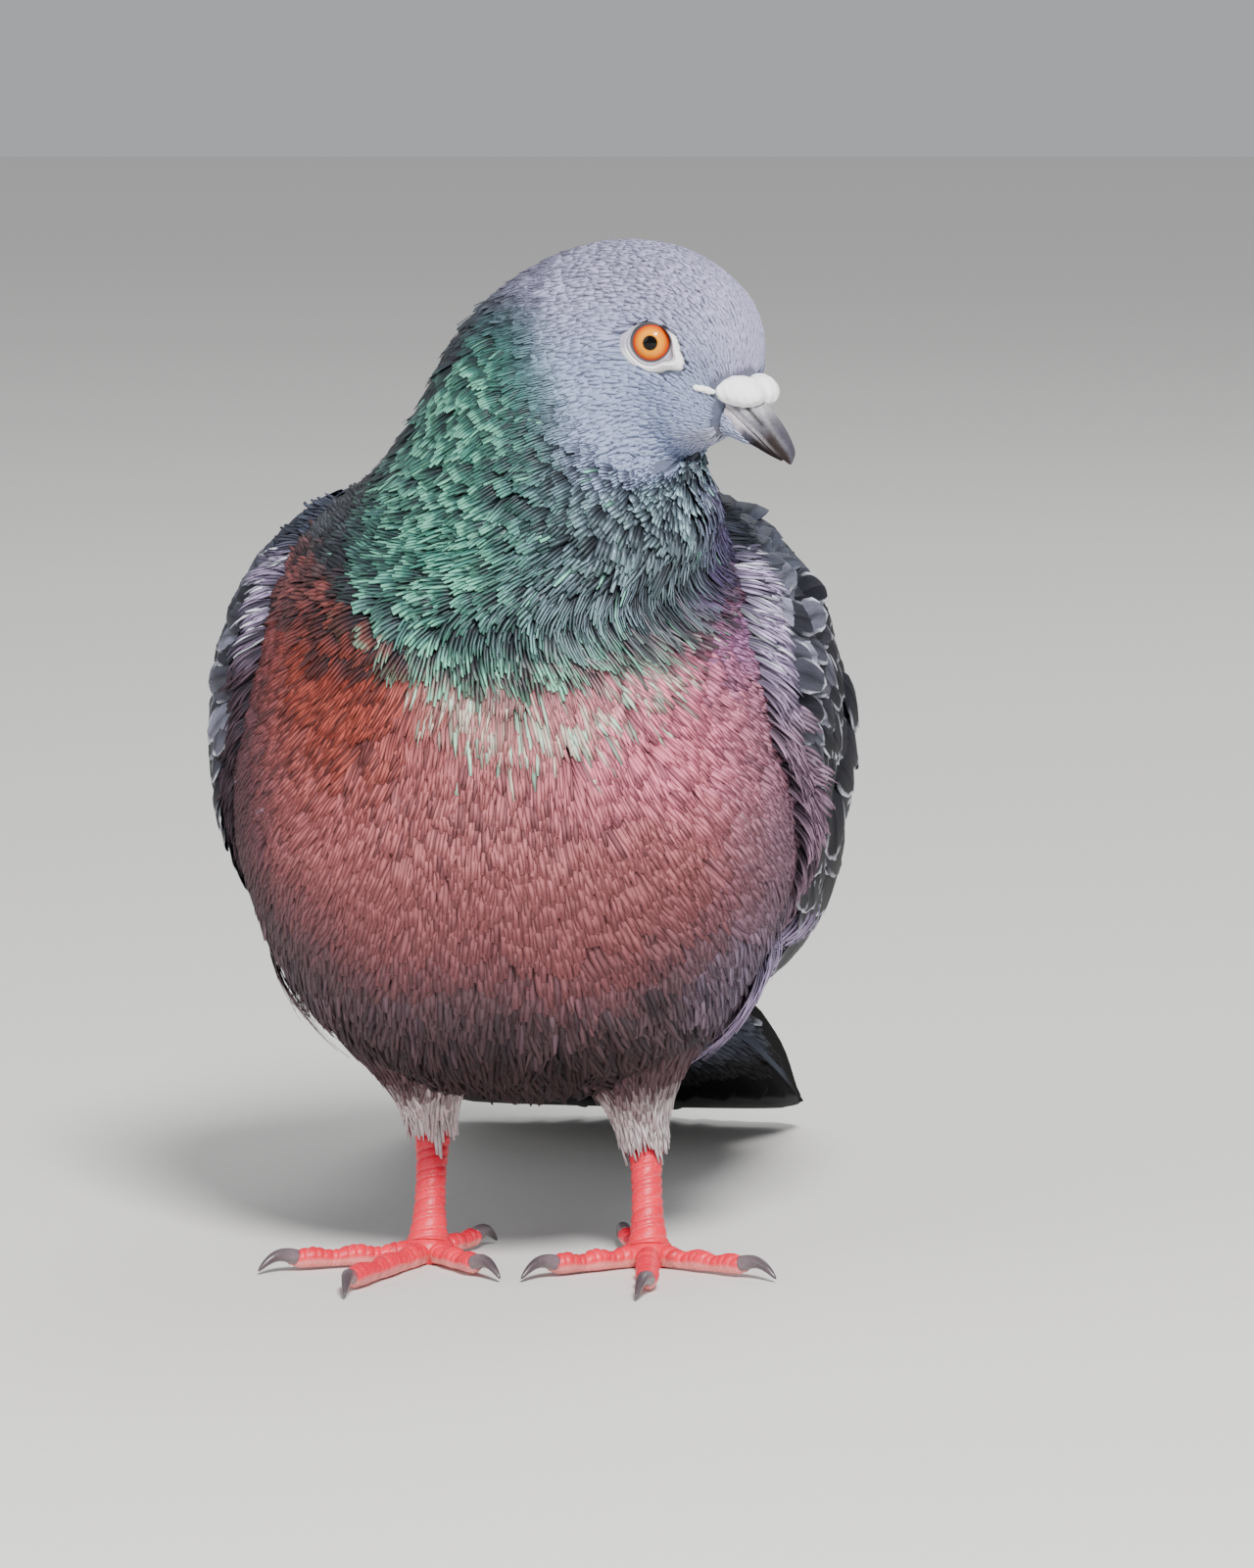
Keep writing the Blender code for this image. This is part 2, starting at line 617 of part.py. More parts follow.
def main():
    for old in list(bpy.data.objects):
        bpy.data.objects.remove(old, do_unlink=True)
    root = bpy.data.objects.new("bird", None)
    bpy.context.scene.collection.objects.link(root)
    looks = add_materials()
    body = add_body(looks, root)
    add_wings(looks, root, body)
    add_eyes(looks, root, body["head"])
    add_bill(looks, root, body["head"])
    belly_cutter = add_loft(
        "cutter_trunk", body_rings(13.0, TAIL_FROM, CUTTER_CLEARANCE), looks["belly"], root
    )
    for name, leg in FEET.items():
        add_leg(name, leg, looks, root, belly_cutter)
    set_on_origin(root)


main()
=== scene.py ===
"""Plumage, skin, eyes, bill and feet of a standing rock dove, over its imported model.

Lengths are millimetres in the bird's own frame, whose origin is between its feet, until a
mesh is written. The bird faces -Y, its own left is +X and the floor is z = 0.
"""

import functools

import bpy
import numpy as np
from numpy.linalg import norm
from numpy.random import default_rng
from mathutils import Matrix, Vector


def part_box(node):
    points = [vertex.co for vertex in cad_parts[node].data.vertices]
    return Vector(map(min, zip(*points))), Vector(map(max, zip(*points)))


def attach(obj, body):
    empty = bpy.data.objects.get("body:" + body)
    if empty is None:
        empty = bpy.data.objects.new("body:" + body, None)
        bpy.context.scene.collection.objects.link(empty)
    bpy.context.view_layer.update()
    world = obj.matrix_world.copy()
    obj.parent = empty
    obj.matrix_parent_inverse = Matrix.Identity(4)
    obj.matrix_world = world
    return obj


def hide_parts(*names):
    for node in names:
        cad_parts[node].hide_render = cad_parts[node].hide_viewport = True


bl_info = {
    "name": "Rock dove plumage",
    "version": (1, 0, 0),
    "blender": (4, 5, 0),
    "location": "3D View > Sidebar > Rock dove",
    "description": "Builds the skin, feathers, eyes, bill and feet of a standing rock dove",
    "category": "Object",
}

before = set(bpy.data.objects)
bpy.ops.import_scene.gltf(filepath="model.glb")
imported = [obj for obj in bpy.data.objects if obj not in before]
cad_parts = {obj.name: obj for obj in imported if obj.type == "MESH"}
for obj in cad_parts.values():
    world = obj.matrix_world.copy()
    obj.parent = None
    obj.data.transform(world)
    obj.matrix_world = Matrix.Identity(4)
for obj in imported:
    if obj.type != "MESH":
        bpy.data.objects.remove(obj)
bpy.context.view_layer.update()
MM = 0.001
UP = np.array([0.0, 0.0, 1.0])


def middle_of(node):
    """The middle of a node's box, in millimetres."""
    low, high = (np.array(corner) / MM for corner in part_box(node))
    return (low + high) / 2


# Each foot's ball, the top of its bare shank, and each toe's root and its claw's tip.
FEET = {
    "left": {"ball": (20.3, -2.8), "shank_top": (19.8, 4.5, 20.0), "toes": {
        "inner": ((2.6, -15.5), (-3.6, -22.5)), "middle": ((20.0, -33.0), (17.6, -43.5)),
        "outer": ((37.8, -16.5), (44.2, -22.5)), "hind": ((16.0, 18.0), (14.6, 25.5)),
    }},
    "right": {"ball": (-19.7, 1.6), "shank_top": (-19.0, 9.0, 21.0), "toes": {
        "inner": ((-10.6, -15.5), (-5.6, -22.5)), "middle": ((-33.5, -31.0), (-34.0, -41.5)),
        "outer": ((-44.4, -9.0), (-51.2, -14.0)), "hind": ((-11.0, 16.0), (-6.8, 22.0)),
    }},
}
# The model's own frame has its origin under the middle of its box.
SHIFT = np.append((middle_of("pad_left")[:2] - FEET["left"]["ball"]), 0.0)


# ---- colours and sizes


def linear(hex_colour):
    """sRGB hex to linear: v / 12.92 when dark, otherwise ((v + 0.055) / 1.055) to the 2.4."""
    parts = np.array([int(hex_colour[i : i + 2], 16) for i in (1, 3, 5)]) / 255
    return np.where(parts <= 0.04045, parts / 12.92, ((parts + 0.055) / 1.055) ** 2.4)


COLOURS = {
    "crown": ("#9C99B6", "Close feathers over the forehead and crown"),
    "cheek": ("#8A95B2", "Feathers of the cheek and ear"),
    "lores": ("#747C94", "Darker feathers between the eye and the bill"),
    "chin": ("#B4B2C4", "Paler feathers under the bill"),
    # emerald and violet are partly the hackles' own colour, partly painted iridescent sheen
    "emerald": ("#378E7C", "Bright barbs of the neck hackles"),
    # mint is a painted highlight on the lit tips of the neck hackles
    "mint": ("#A2FFDC", "Palest gleam of the neck hackles"),
    "teal": ("#56767E", "Duller hackles round the middle of the neck"),
    "slate_neck": ("#8496A4", "Grey hackles under the throat"),
    "nape": ("#4B4B55", "Grey-brown feathers behind the neck"),
    "violet": ("#7A669E", "Gleam at the side of the lower neck"),
    # down is the dark down, darkened to paint the shade between the feathers
    "down": ("#23242A", "Dark down seen between the feathers"),
    "cream": ("#C9C6B4", "Pale flecks where neck meets breast"),
    # brick and rose, one to each side of the breast, differ as painted iridescent sheen
    "brick": ("#96463C", "Red-brown feathers of the right upper breast"),
    "rose": ("#DE7C90", "Pink feathers of the left upper breast"),
    "wine": ("#A86468", "Dusty pink feathers of the breast"),
    "flank": ("#8C7084", "Greyer feathers along the flanks"),
    "flank_pale": ("#A898BA", "Lilac-white wisps in front of the wing"),
    # plum is painted shade on the bird's right, away from the light
    "plum": ("#46363F", "Dark plum feathers beside the right wing"),
    "belly": ("#58464C", "Grey-brown feathers of the belly"),
    # the darkest belly colour is painted shade between the legs
    "belly_deep": ("#2A2022", "Darkest feathers between the legs"),
    "mantle": ("#3B404D", "Slate-blue feathers of the back"),
    "rump": ("#A7AAB8", "Pale feathers over the root of the tail"),
    "covert": ("#15151D", "Charcoal wing coverts"),
    "covert_pale": ("#8C8CA0", "Light grey coverts at the bend of the wing"),
    "fringe": ("#DADCEA", "Pale edges of the wing coverts"),
    "flight": ("#1E1D25", "Blackish flight feathers"),
    # tail is the feathers' own black band, deepened as painted shade
    "tail": ("#030304", "Blackish tail feathers"),
    "undertail": ("#5A5D70", "Grey feathers under the tail"),
    "tibia": ("#C9C0C2", "Cream feathers above the bare shank"),
    "scale": ("#E01436", "Coral scales of shank and toes"),
    "scale_edge": ("#DC7078", "Whitish lines between the scales"),
    "sole": ("#F08A86", "Paler pads under the toes"),
    "claw_root": ("#6E6166", "Paler grey horn at the root of a claw"),
    "claw": ("#4A3F44", "Grey-brown horn"),
    "bill": ("#4A4853", "Grey horn of the bill"),
    "bill_tip": ("#1E1413", "Dark horn at the tip of the bill"),
    "bill_edge": ("#CFC8CE", "Pale cutting edge of the bill"),
    "cere": ("#FBFAFA", "White powdery skin over the nostrils"),
    "lid": ("#ACAAB8", "Bare skin round the eye"),
    "iris": ("#E08A00", "Golden middle of the iris"),
    "iris_rim": ("#B42800", "Red-orange rim of the iris"),
    "pupil": ("#050404", "Black pupil"),
    "floor": ("#DCDAD6", "Pale matt studio floor"),
}

SIZES = {
    "hackle": (9.0, "Length of a neck hackle"),
    "breast_plume": (13.0, "Length of a breast feather"),
    "belly_plume": (18.0, "Length of a belly feather"),
    "face_plume": (2.6, "Length of a feather beside the bill"),
    "iris_radius": (3.3, "Radius of the coloured iris"),
    "pupil_radius": (1.3, "Radius of the pupil"),
    "scute": (1.9, "Length of one scale on shank and toes"),
}


def label_of(key):
    """A setting's key as the words of its label."""
    return key.replace("_", " ").capitalize()


class PigeonColours(bpy.types.PropertyGroup):
    """The colours of the plumage and the bare parts."""

    __annotations__ = {
        key: bpy.props.FloatVectorProperty(name=label_of(key), description=says, min=0, max=1,
                                           default=linear(code), subtype="COLOR")
        for key, (code, says) in COLOURS.items()
    }


class PigeonSizes(bpy.types.PropertyGroup):
    """The sizes of feathers, eyes and scales, in millimetres."""

    __annotations__ = {
        key: bpy.props.FloatProperty(name=label_of(key), description=f"{says}, in millimetres",
                                     default=size, min=0.1)
        for key, (size, says) in SIZES.items()
    }


def colour(key):
    """One of the panel's colours, as linear red, green and blue."""
    return np.array(getattr(bpy.context.scene.pigeon_colours, key))


def size(key):
    """One of the panel's sizes, in millimetres."""
    return getattr(bpy.context.scene.pigeon_sizes, key)


# ---- the body's form

# Yaws are degrees from straight ahead (-Y), positive towards the bird's left.
BODY_YAW = -5.5
TAIL_YAW = -8.0
TAIL_PIVOT = 92.0  # the tail turns from the body's line this far behind its middle
HEAD_YAW = 52.0
BODY_MIDDLE = (-3.2, 0.0)
MID_EYE = np.array([26.0, -18.0, 170.0])


def direction(yaw):
    """Forward (sin, -cos, 0) and right (-cos, -sin, 0) of a plane turned by yaw degrees."""
    turn = np.radians(yaw)
    zero = np.zeros_like(turn)
    forward = np.stack([np.sin(turn), -np.cos(turn), zero], -1)
    right = np.stack([-np.cos(turn), -np.sin(turn), zero], -1)
    return forward, right


def in_plane(yaw, origin, ahead, height, aside=0.0):
    """Origin plus ahead along the plane's forward and aside along its right, at a height."""
    forward, right = direction(yaw)
    at = np.array([origin[0], origin[1], 0.0])
    ahead, height, aside = (np.asarray(v, float)[..., None] for v in (ahead, height, aside))
    return at + ahead * forward + aside * right + height * UP


def on_head(ahead, height, aside=0.0):
    """A place in the head's own plane, which passes between the eyes."""
    return in_plane(HEAD_YAW, MID_EYE, ahead, height, aside)


def on_body(ahead, height, aside=0.0):
    """A place in the body's own plane."""
    return in_plane(BODY_YAW, BODY_MIDDLE, ahead, height, aside)


def station(back, front, yaw, half_width, widest=0.5):
    """One section: its back and front ends, yaw, half width, and how far up it is widest."""
    return np.concatenate([back, front, [yaw, half_width, widest]])


def head_station(back, front, half_width):
    """A section whose ends are (ahead, height) in the head's plane."""
    return station(on_head(*back), on_head(*front), HEAD_YAW, half_width)


def body_station(back, front, half_width, widest=0.5):
    """A section whose ends are (ahead, height) in the body's plane."""
    return station(on_body(*back), on_body(*front), BODY_YAW, half_width, widest)


def tail_station(back, front, half_width):
    """A section whose ends are (ahead, height) in the tail's plane, turned at its pivot."""
    pivot = on_body(-TAIL_PIVOT, 0.0)
    ends = (in_plane(TAIL_YAW, pivot, at + TAIL_PIVOT, height) for at, height in (back, front))
    return station(*ends, TAIL_YAW, half_width)


BODY = np.array([
    # forehead, crown and chin, from the bill's root
    head_station((14.6, 163.6), (10.2, 153.2), 4.3),
    head_station((15.3, 167.5), (8.0, 151.8), 7.0),
    head_station((15.1, 173.0), (5.9, 150.9), 9.2),
    head_station((12.8, 178.1), (4.2, 150.1), 10.9),
    head_station((8.2, 182.1), (2.8, 149.2), 11.8),
    # back of the head and the upper neck, while the body turns under it
    station((26.8, -18.6, 185.5), (27.2, -18.9, 148.4), 51, 12.5),
    station((19.7, -13.1, 186.9), (25.8, -19.8, 147.6), 49, 14.0),
    station((11.8, -7.2, 186.2), (23.6, -23.8, 146.6), 44, 16.4),
    station((4.2, -1.5, 182.4), (20.6, -28.4, 145.3), 37, 19.0),
    station((-1.6, 3.9, 175.4), (17.2, -32.4, 143.5), 29, 21.3),
    station((-3.8, 8.8, 166.0), (14.0, -36.0, 141.0), 20, 23.2),
    station((-3.6, 12.8, 156.5), (10.0, -39.5, 137.5), 10, 26.0),
    station((-3.0, 16.8, 148.0), (4.5, -42.5, 132.0), 0, 31.2),
    # back, breast and belly
    body_station((-22.0, 141.0), (46.5, 121.0), 38.5, 0.55),
    body_station((-30.0, 131.5), (50.5, 107.0), 45.5, 0.57),
    body_station((-38.0, 120.5), (52.0, 91.0), 50.0, 0.56),
    body_station((-46.0, 108.0), (50.0, 75.0), 52.3, 0.53),
    body_station((-54.0, 96.0), (43.0, 59.0), 51.2, 0.49),
    body_station((-62.0, 84.5), (31.0, 45.0), 47.0, 0.45),
    body_station((-69.5, 74.0), (14.0, 34.5), 41.5, 0.43),
    body_station((-77.0, 65.0), (-6.0, 29.5), 35.0, 0.45),
    # vent, tail coverts and tail
    body_station((-84.0, 57.5), (-30.0, 30.0), 27.5),
    body_station((-92.0, 51.0), (-56.0, 32.0), 22.0),
    tail_station((-103.0, 44.0), (-82.0, 29.0), 26.0),
    tail_station((-119.0, 34.0), (-108.0, 22.0), 31.0),
    tail_station((-137.0, 23.0), (-133.0, 14.0), 34.0),
    tail_station((-152.0, 13.5), (-150.5, 7.8), 35.5),
    tail_station((-163.0, 7.2), (-162.5, 4.2), 36.0),
    tail_station((-168.5, 4.6), (-168.5, 2.6), 31.5),
])
LAST = len(BODY) - 1.0


def smooth(values, at):
    """A Catmull-Rom curve through the rows of values, read at row numbers of any shape."""
    rows = np.asarray(values, float)
    rows = rows[:, None] if rows.ndim == 1 else rows
    at = np.asarray(at, float)
    start = np.clip(np.floor(at).astype(int), 0, len(rows) - 2)
    t = (at - start)[..., None]
    padded = np.concatenate([[2 * rows[0] - rows[1]], rows, [2 * rows[-1] - rows[-2]]])
    a, b, c, d = (padded[start + k] for k in range(4))
    cubic = (2 * a - 5 * b + 4 * c - d) * t**2 + (3 * b - a - 3 * c + d) * t**3
    return 0.5 * (2 * b + (c - a) * t + cubic)


def ease(low, high, value):
    """0 below low, 1 above high, and 3 t^2 - 2 t^3 between."""
    t = np.clip((np.asarray(value, float) - low) / (high - low), 0, 1)
    return t * t * (3 - 2 * t)


def bump_at(value, middle, spread):
    """A bell: e to the minus ((value - middle) / spread) squared."""
    return np.exp(-(((np.asarray(value, float) - middle) / spread) ** 2))


def mix(first, second, share):
    """First plus share times (second - first)."""
    return first + np.asarray(share, float) * (second - first)


def blend(first, second, share):
    """Mix for colours: one share for each of them."""
    share = np.asarray(share, float)[..., None]
    return first + share * (second - first)


def unit(way, least=0.0):
    """Each way over its own length; least keeps a way of no length from dividing by 0."""
    return way / (norm(way, axis=-1, keepdims=True) + least)


def body_points(at, turn, inset=0.0):
    """The body's surface at station numbers and turns (0 right, 0.25 back, 0.5 left).

    Each section is centre + cos(turn) * half width * right + sin(turn) * the reach to the back
    or to the front line, all shortened by inset.
    """
    at, turn = np.broadcast_arrays(np.asarray(at, float), np.asarray(turn, float))
    row = smooth(BODY, at)
    back, front = row[..., :3], row[..., 3:6]
    yaw, half_width, widest = row[..., 6], row[..., 7:8], row[..., 8:9]
    outwards = unit(back - front)
    inset = np.broadcast_to(np.asarray(inset, float), at.shape)[..., None]
    back, front = back - outwards * inset, front + outwards * inset
    right = direction(yaw)[1]
    middle = front + widest * (back - front)
    angle = 2 * np.pi * turn[..., None]
    rise = np.sin(angle)
    along = np.where(rise > 0, rise * (back - middle), rise * (middle - front))
    return middle + along + np.cos(angle) * right * (half_width - inset)


class Form:
    """A surface held as a grid of points: rows run down it, columns round or across it.

    Lengths down each column are summed from its first row and turned back into rows, so that a
    feather keeps its length where rows crowd together.
    """

    def __init__(self, points, closed, outwards=None):
        down = np.gradient(points, axis=0)
        if closed:
            across = (np.roll(points, -1, 1) - np.roll(points, 1, 1)) / 2
        else:
            across = np.gradient(points, axis=1)
        normal = unit(np.cross(across, down), 1e-9)
        if outwards is not None and (normal * outwards).sum(-1).mean() < 0:
            normal = -normal
        aside = np.cross(unit(down, 1e-9), normal)
        spread = (across * aside).sum(-1, keepdims=True)
        step = norm(np.diff(points, axis=0), axis=-1)
        run = np.concatenate([np.zeros((1, points.shape[1])), np.cumsum(step, axis=0)])
        self.closed = closed
        self.rows, self.columns = points.shape[:2]
        self.points, self.run, self.sense = points, run, np.sign(spread.mean())
        parts = [points, normal, down, across, spread, run[..., None]]
        self.grid = np.concatenate(parts, axis=-1)
        rows = np.arange(self.rows)
        lengths = np.arange(0, run.max() + 60, LENGTH_STEP)
        inverse = [np.interp(lengths, line, rows) for line in run.T]
        past = np.maximum(0, lengths[:, None] - run[-1]) / step[-1]
        self.row_at = (np.stack(inverse, 1) + past)[..., None]

    def no_less(self, width):
        """Widths of a column, with the thinnest held at 0.3 mm in the form's own sense."""
        return self.sense * np.maximum(self.sense * width, 0.3)

    def take(self, table, row, column):
        """A table's values between its four nearest places, and how far past its edges."""
        held = np.clip(row, 0, len(table) - 1.001)
        r = held.astype(int)
        fr = (held - r)[..., None]
        if self.closed:
            inside = column % self.columns
            c = inside.astype(int) % self.columns
            after, over = (c + 1) % self.columns, np.zeros(np.shape(column) + (1,))
        else:
            inside = np.clip(column, 0, self.columns - 1.001)
            c = inside.astype(int)
            after, over = c + 1, (column - inside)[..., None]
        fc = (inside - np.floor(inside))[..., None]
        here = table[r, c] * (1 - fc) + table[r, after] * fc
        beyond = table[r + 1, c] * (1 - fc) + table[r + 1, after] * fc
        return here * (1 - fr) + beyond * fr, (row - held)[..., None], over

    def read(self, row, column):
        """Point, normal, steps down and across, signed width of a column and length so far."""
        found, past, over = self.take(self.grid, row, column)
        point, normal, down, across = (found[..., k : k + 3] for k in (0, 3, 6, 9))
        return point + past * down + over * across, normal, down, across, found[..., 12:]


LENGTH_STEP = 0.5  # millimetres between the lengths at which a form's rows are kept
STEPS = 14  # rows of the body's form to one station
TURNS = 192  # columns round the body


def body_form():
    """The whole body's surface, closed round its turns."""
    at = np.linspace(0.0, LAST, int(LAST * STEPS) + 1)
    turn = np.arange(TURNS) / TURNS
    return Form(body_points(at[:, None], turn[None, :]), True)


# ---- meshes


def fill_mesh(name, look, points, faces, colours, lie=None, patch=None, flat=()):
    """One object from millimetre points and arrays of faces, placed in the model's frame.

    The arrays of faces numbered in flat are shaded flat, so a feather's underside does not
    bend the light on its upper side.
    """
    mesh = bpy.data.meshes.new(name)
    mesh.vertices.add(len(points))
    mesh.vertices.foreach_set("co", ((points + SHIFT) * MM).astype(np.float32).ravel())
    loops = np.concatenate([part.ravel() for part in faces])
    sizes = np.concatenate([np.full(len(part), part.shape[1]) for part in faces])
    mesh.loops.add(len(loops))
    mesh.loops.foreach_set("vertex_index", loops.astype(np.int32))
    mesh.polygons.add(len(sizes))
    mesh.polygons.foreach_set("loop_start", (np.cumsum(sizes) - sizes).astype(np.int32))
    mesh.update(calc_edges=True)
    mesh.validate()
    smooth_faces = np.concatenate([np.full(len(f), k not in flat) for k, f in enumerate(faces)])
    mesh.polygons.foreach_set("use_smooth", smooth_faces)
    layer = mesh.color_attributes.new("Coat", "FLOAT_COLOR", "POINT")
    full = np.ones((len(points), 4), np.float32)
    full[:, :3] = np.clip(colours, 0, 1)
    layer.data.foreach_set("color", full.ravel())
    if lie is not None:
        layer = mesh.attributes.new("Lie", "FLOAT_VECTOR", "POINT")
        layer.data.foreach_set("vector", lie.astype(np.float32).ravel())
    if patch is not None:
        layer = mesh.uv_layers.new(name="OFBake")
        layer.data.foreach_set("uv", patch[loops].astype(np.float32).ravel())
    mesh.materials.append(look)
    made = bpy.data.objects.new(name, mesh)
    bpy.context.scene.collection.objects.link(made)
    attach(made, "root")
    return made


def add_piece(name, slot, look, parts, *nodes, flat=()):
    """A piece made in place of the nodes named, which are hidden; slot is not used."""
    made = fill_mesh(name, look, *parts, flat=flat)
    if nodes:
        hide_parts(*nodes)


def grid_faces(rows, columns, closed, flip=False):
    """Quads of a grid, row by row; closed joins the last column to the first."""
    r = np.arange(rows - 1)[:, None]
    c = np.arange(columns if closed else columns - 1)[None, :]
    after = (c + 1) % columns
    quad = [r * columns + c, r * columns + after, (r + 1) * columns + after, (r + 1) * columns + c]
    quad = np.stack(quad, -1).reshape(-1, 4)
    return quad[:, ::-1] if flip else quad


def closed_loft(rings, flip=False):
    """Points and faces of rings of equal count, with a fan of triangles over each end."""
    rows, columns = rings.shape[:2]
    points = np.concatenate([rings.reshape(-1, 3), [rings[0].mean(0), rings[-1].mean(0)]])
    c = np.arange(columns)
    after = (c + 1) % columns
    end = (rows - 1) * columns
    first = np.stack([after, c, np.full(columns, rows * columns)], -1)
    last = np.stack([end + c, end + after, np.full(columns, rows * columns + 1)], -1)
    faces = [grid_faces(rows, columns, True), first, last]
    return points, [part[:, ::-1] for part in faces] if flip else faces


def with_poles(tone):
    """Colours of a loft's rings in one row, with the two ends' own for its poles."""
    tone = tone.reshape(-1, 3)
    return np.concatenate([tone, tone[:1], tone[-1:]])


def whole_turn(count):
    """Angles that go once round in equal steps."""
    return np.arange(count) / count * 2 * np.pi


def join(parts):
    """Several (points, faces, extra arrays...) as one, with the faces renumbered."""
    shift, faces = 0, []
    for part in parts:
        faces += [face + shift for face in part[1]]
        shift += len(part[0])
    columns = [np.concatenate([part[k] for part in parts]) for k in (0, *range(2, len(parts[0])))]
    return (columns[0], faces, *columns[1:])


# ---- feathers


def by_station(table, at):
    """A value read at station numbers from (station, value) pairs, in straight lines.

    A plain number is its own value everywhere.
    """
    if not isinstance(table, tuple):
        return table
    stations, values = np.array(table, float).T
    return np.interp(at, stations, values)


def varied(value, share, random, count):
    """Values that wander by a share of themselves, as a bell about them."""
    return value * (1 + share * random.normal(0, 1, count))


def lay_roots(form, first, last, along, across, seed, jitter=0.22):
    """Roots (row, column) in rows across the form, each row a step further down it.

    The distance down each column is summed in steps of along, so a feather row lies where the
    sum is a whole number; along it feathers stand across apart, every other row by a half.
    """
    random = default_rng(seed)
    rows = np.arange(form.rows)
    spacing = np.broadcast_to(by_station(along, rows / STEPS), rows.shape)
    step = np.diff(form.run, axis=0) / ((spacing[1:] + spacing[:-1]) / 2)[:, None]
    total = np.concatenate([np.zeros((1, form.columns)), np.cumsum(step, axis=0)])
    total -= np.stack([np.interp(first, rows, line) for line in total.T])
    most = int(total.max()) + 1
    tracks = np.stack([np.interp(np.arange(most), line, rows) for line in total.T], 1)
    found = []
    for number, track in enumerate(tracks):
        places_across = np.arange(form.columns + form.closed, dtype=float)
        track = np.append(track, track[0]) if form.closed else track
        line = form.read(track, places_across)[0]
        gap = by_station(across, (track[1:] + track[:-1]) / 2 / STEPS)
        run = np.append(0.0, np.cumsum(norm(np.diff(line, axis=0), axis=1) / gap))
        whole = max(1, int(run[-1]))
        places = (np.arange(whole) + 0.5 * (number % 2) + 0.25) * run[-1] / whole
        places = places + random.uniform(-jitter, jitter, whole)
        column = np.interp(places, run, places_across)
        row = np.interp(column, places_across, track)
        row = row + random.uniform(-jitter, jitter, whole) * form.rows / most
        keep = (row >= first) & (row <= last)
        found.append(np.stack([row[keep], column[keep]], -1))
    return np.concatenate(found).T


def ways_at(form, row, column):
    """The unit ways ahead (down the form) and aside at places on it."""
    _, normal, down, across, _ = form.read(row, column)
    ahead = unit(down, 1e-9)
    return ahead, np.cross(ahead, normal), across


def turn_towards(form, row, column, way):
    """The turn that lays a feather along a way in space: atan2(way . aside, way . ahead)."""
    ahead, aside, _ = ways_at(form, row, column)
    return np.arctan2((aside * way).sum(-1), (ahead * way).sum(-1))


def walk(form, row, column, aside, ahead, turn=0.0):
    """Where offsets in millimetres lead from roots on a form, as rows and columns.

    The pair (ahead, aside) is turned by an angle. Its part ahead is added to the length down
    the root's column, and its part aside is counted in columns of the width found there.
    """
    shape = (slice(None),) + (None,) * (np.ndim(ahead) - 1)
    way, side, across = ways_at(form, row, column)
    lean = (across * way).sum(-1) / form.no_less((across * side).sum(-1))
    start = form.read(row, column)[4][..., 1]
    turn = np.broadcast_to(turn, row.shape)[shape]
    along = ahead * np.cos(turn) - aside * np.sin(turn)
    over = ahead * np.sin(turn) + aside * np.cos(turn)
    length = start[shape] + along - over * lean[shape]
    column = column[shape] + 0 * length
    row = form.take(form.row_at, np.maximum(length, 0) / LENGTH_STEP, column)[0][..., 0]
    width = form.no_less(form.read(row, column)[4][..., 0])
    return row, column + over / width


def on_form(form, row, column, aside, ahead, lift, turn=0.0):
    """The points those offsets lead to, raised along the form's normal by lift."""
    point, normal, *_ = form.read(*walk(form, row, column, aside, ahead, turn))
    return point + normal * lift[..., None]


def each(value, like, axes=3):
    """A value for each feather, ready to meet arrays with more axes."""
    value = np.broadcast_to(np.asarray(value, float), like.shape)
    return value[(slice(None),) + (None,) * axes]


def risen(lift, t, row, axes):
    """Heights that go from the first lift to the second as 1 - (1 - t)^3."""
    first, second = (each(value, row, axes) for value in lift)
    return first + (second - first) * (1 - (1 - t) ** 3)


def per_point(shape, **parts):
    """Values of blades or vanes, spread to each of their points."""
    return {key: np.broadcast_to(value, shape).ravel() for key, value in parts.items()}


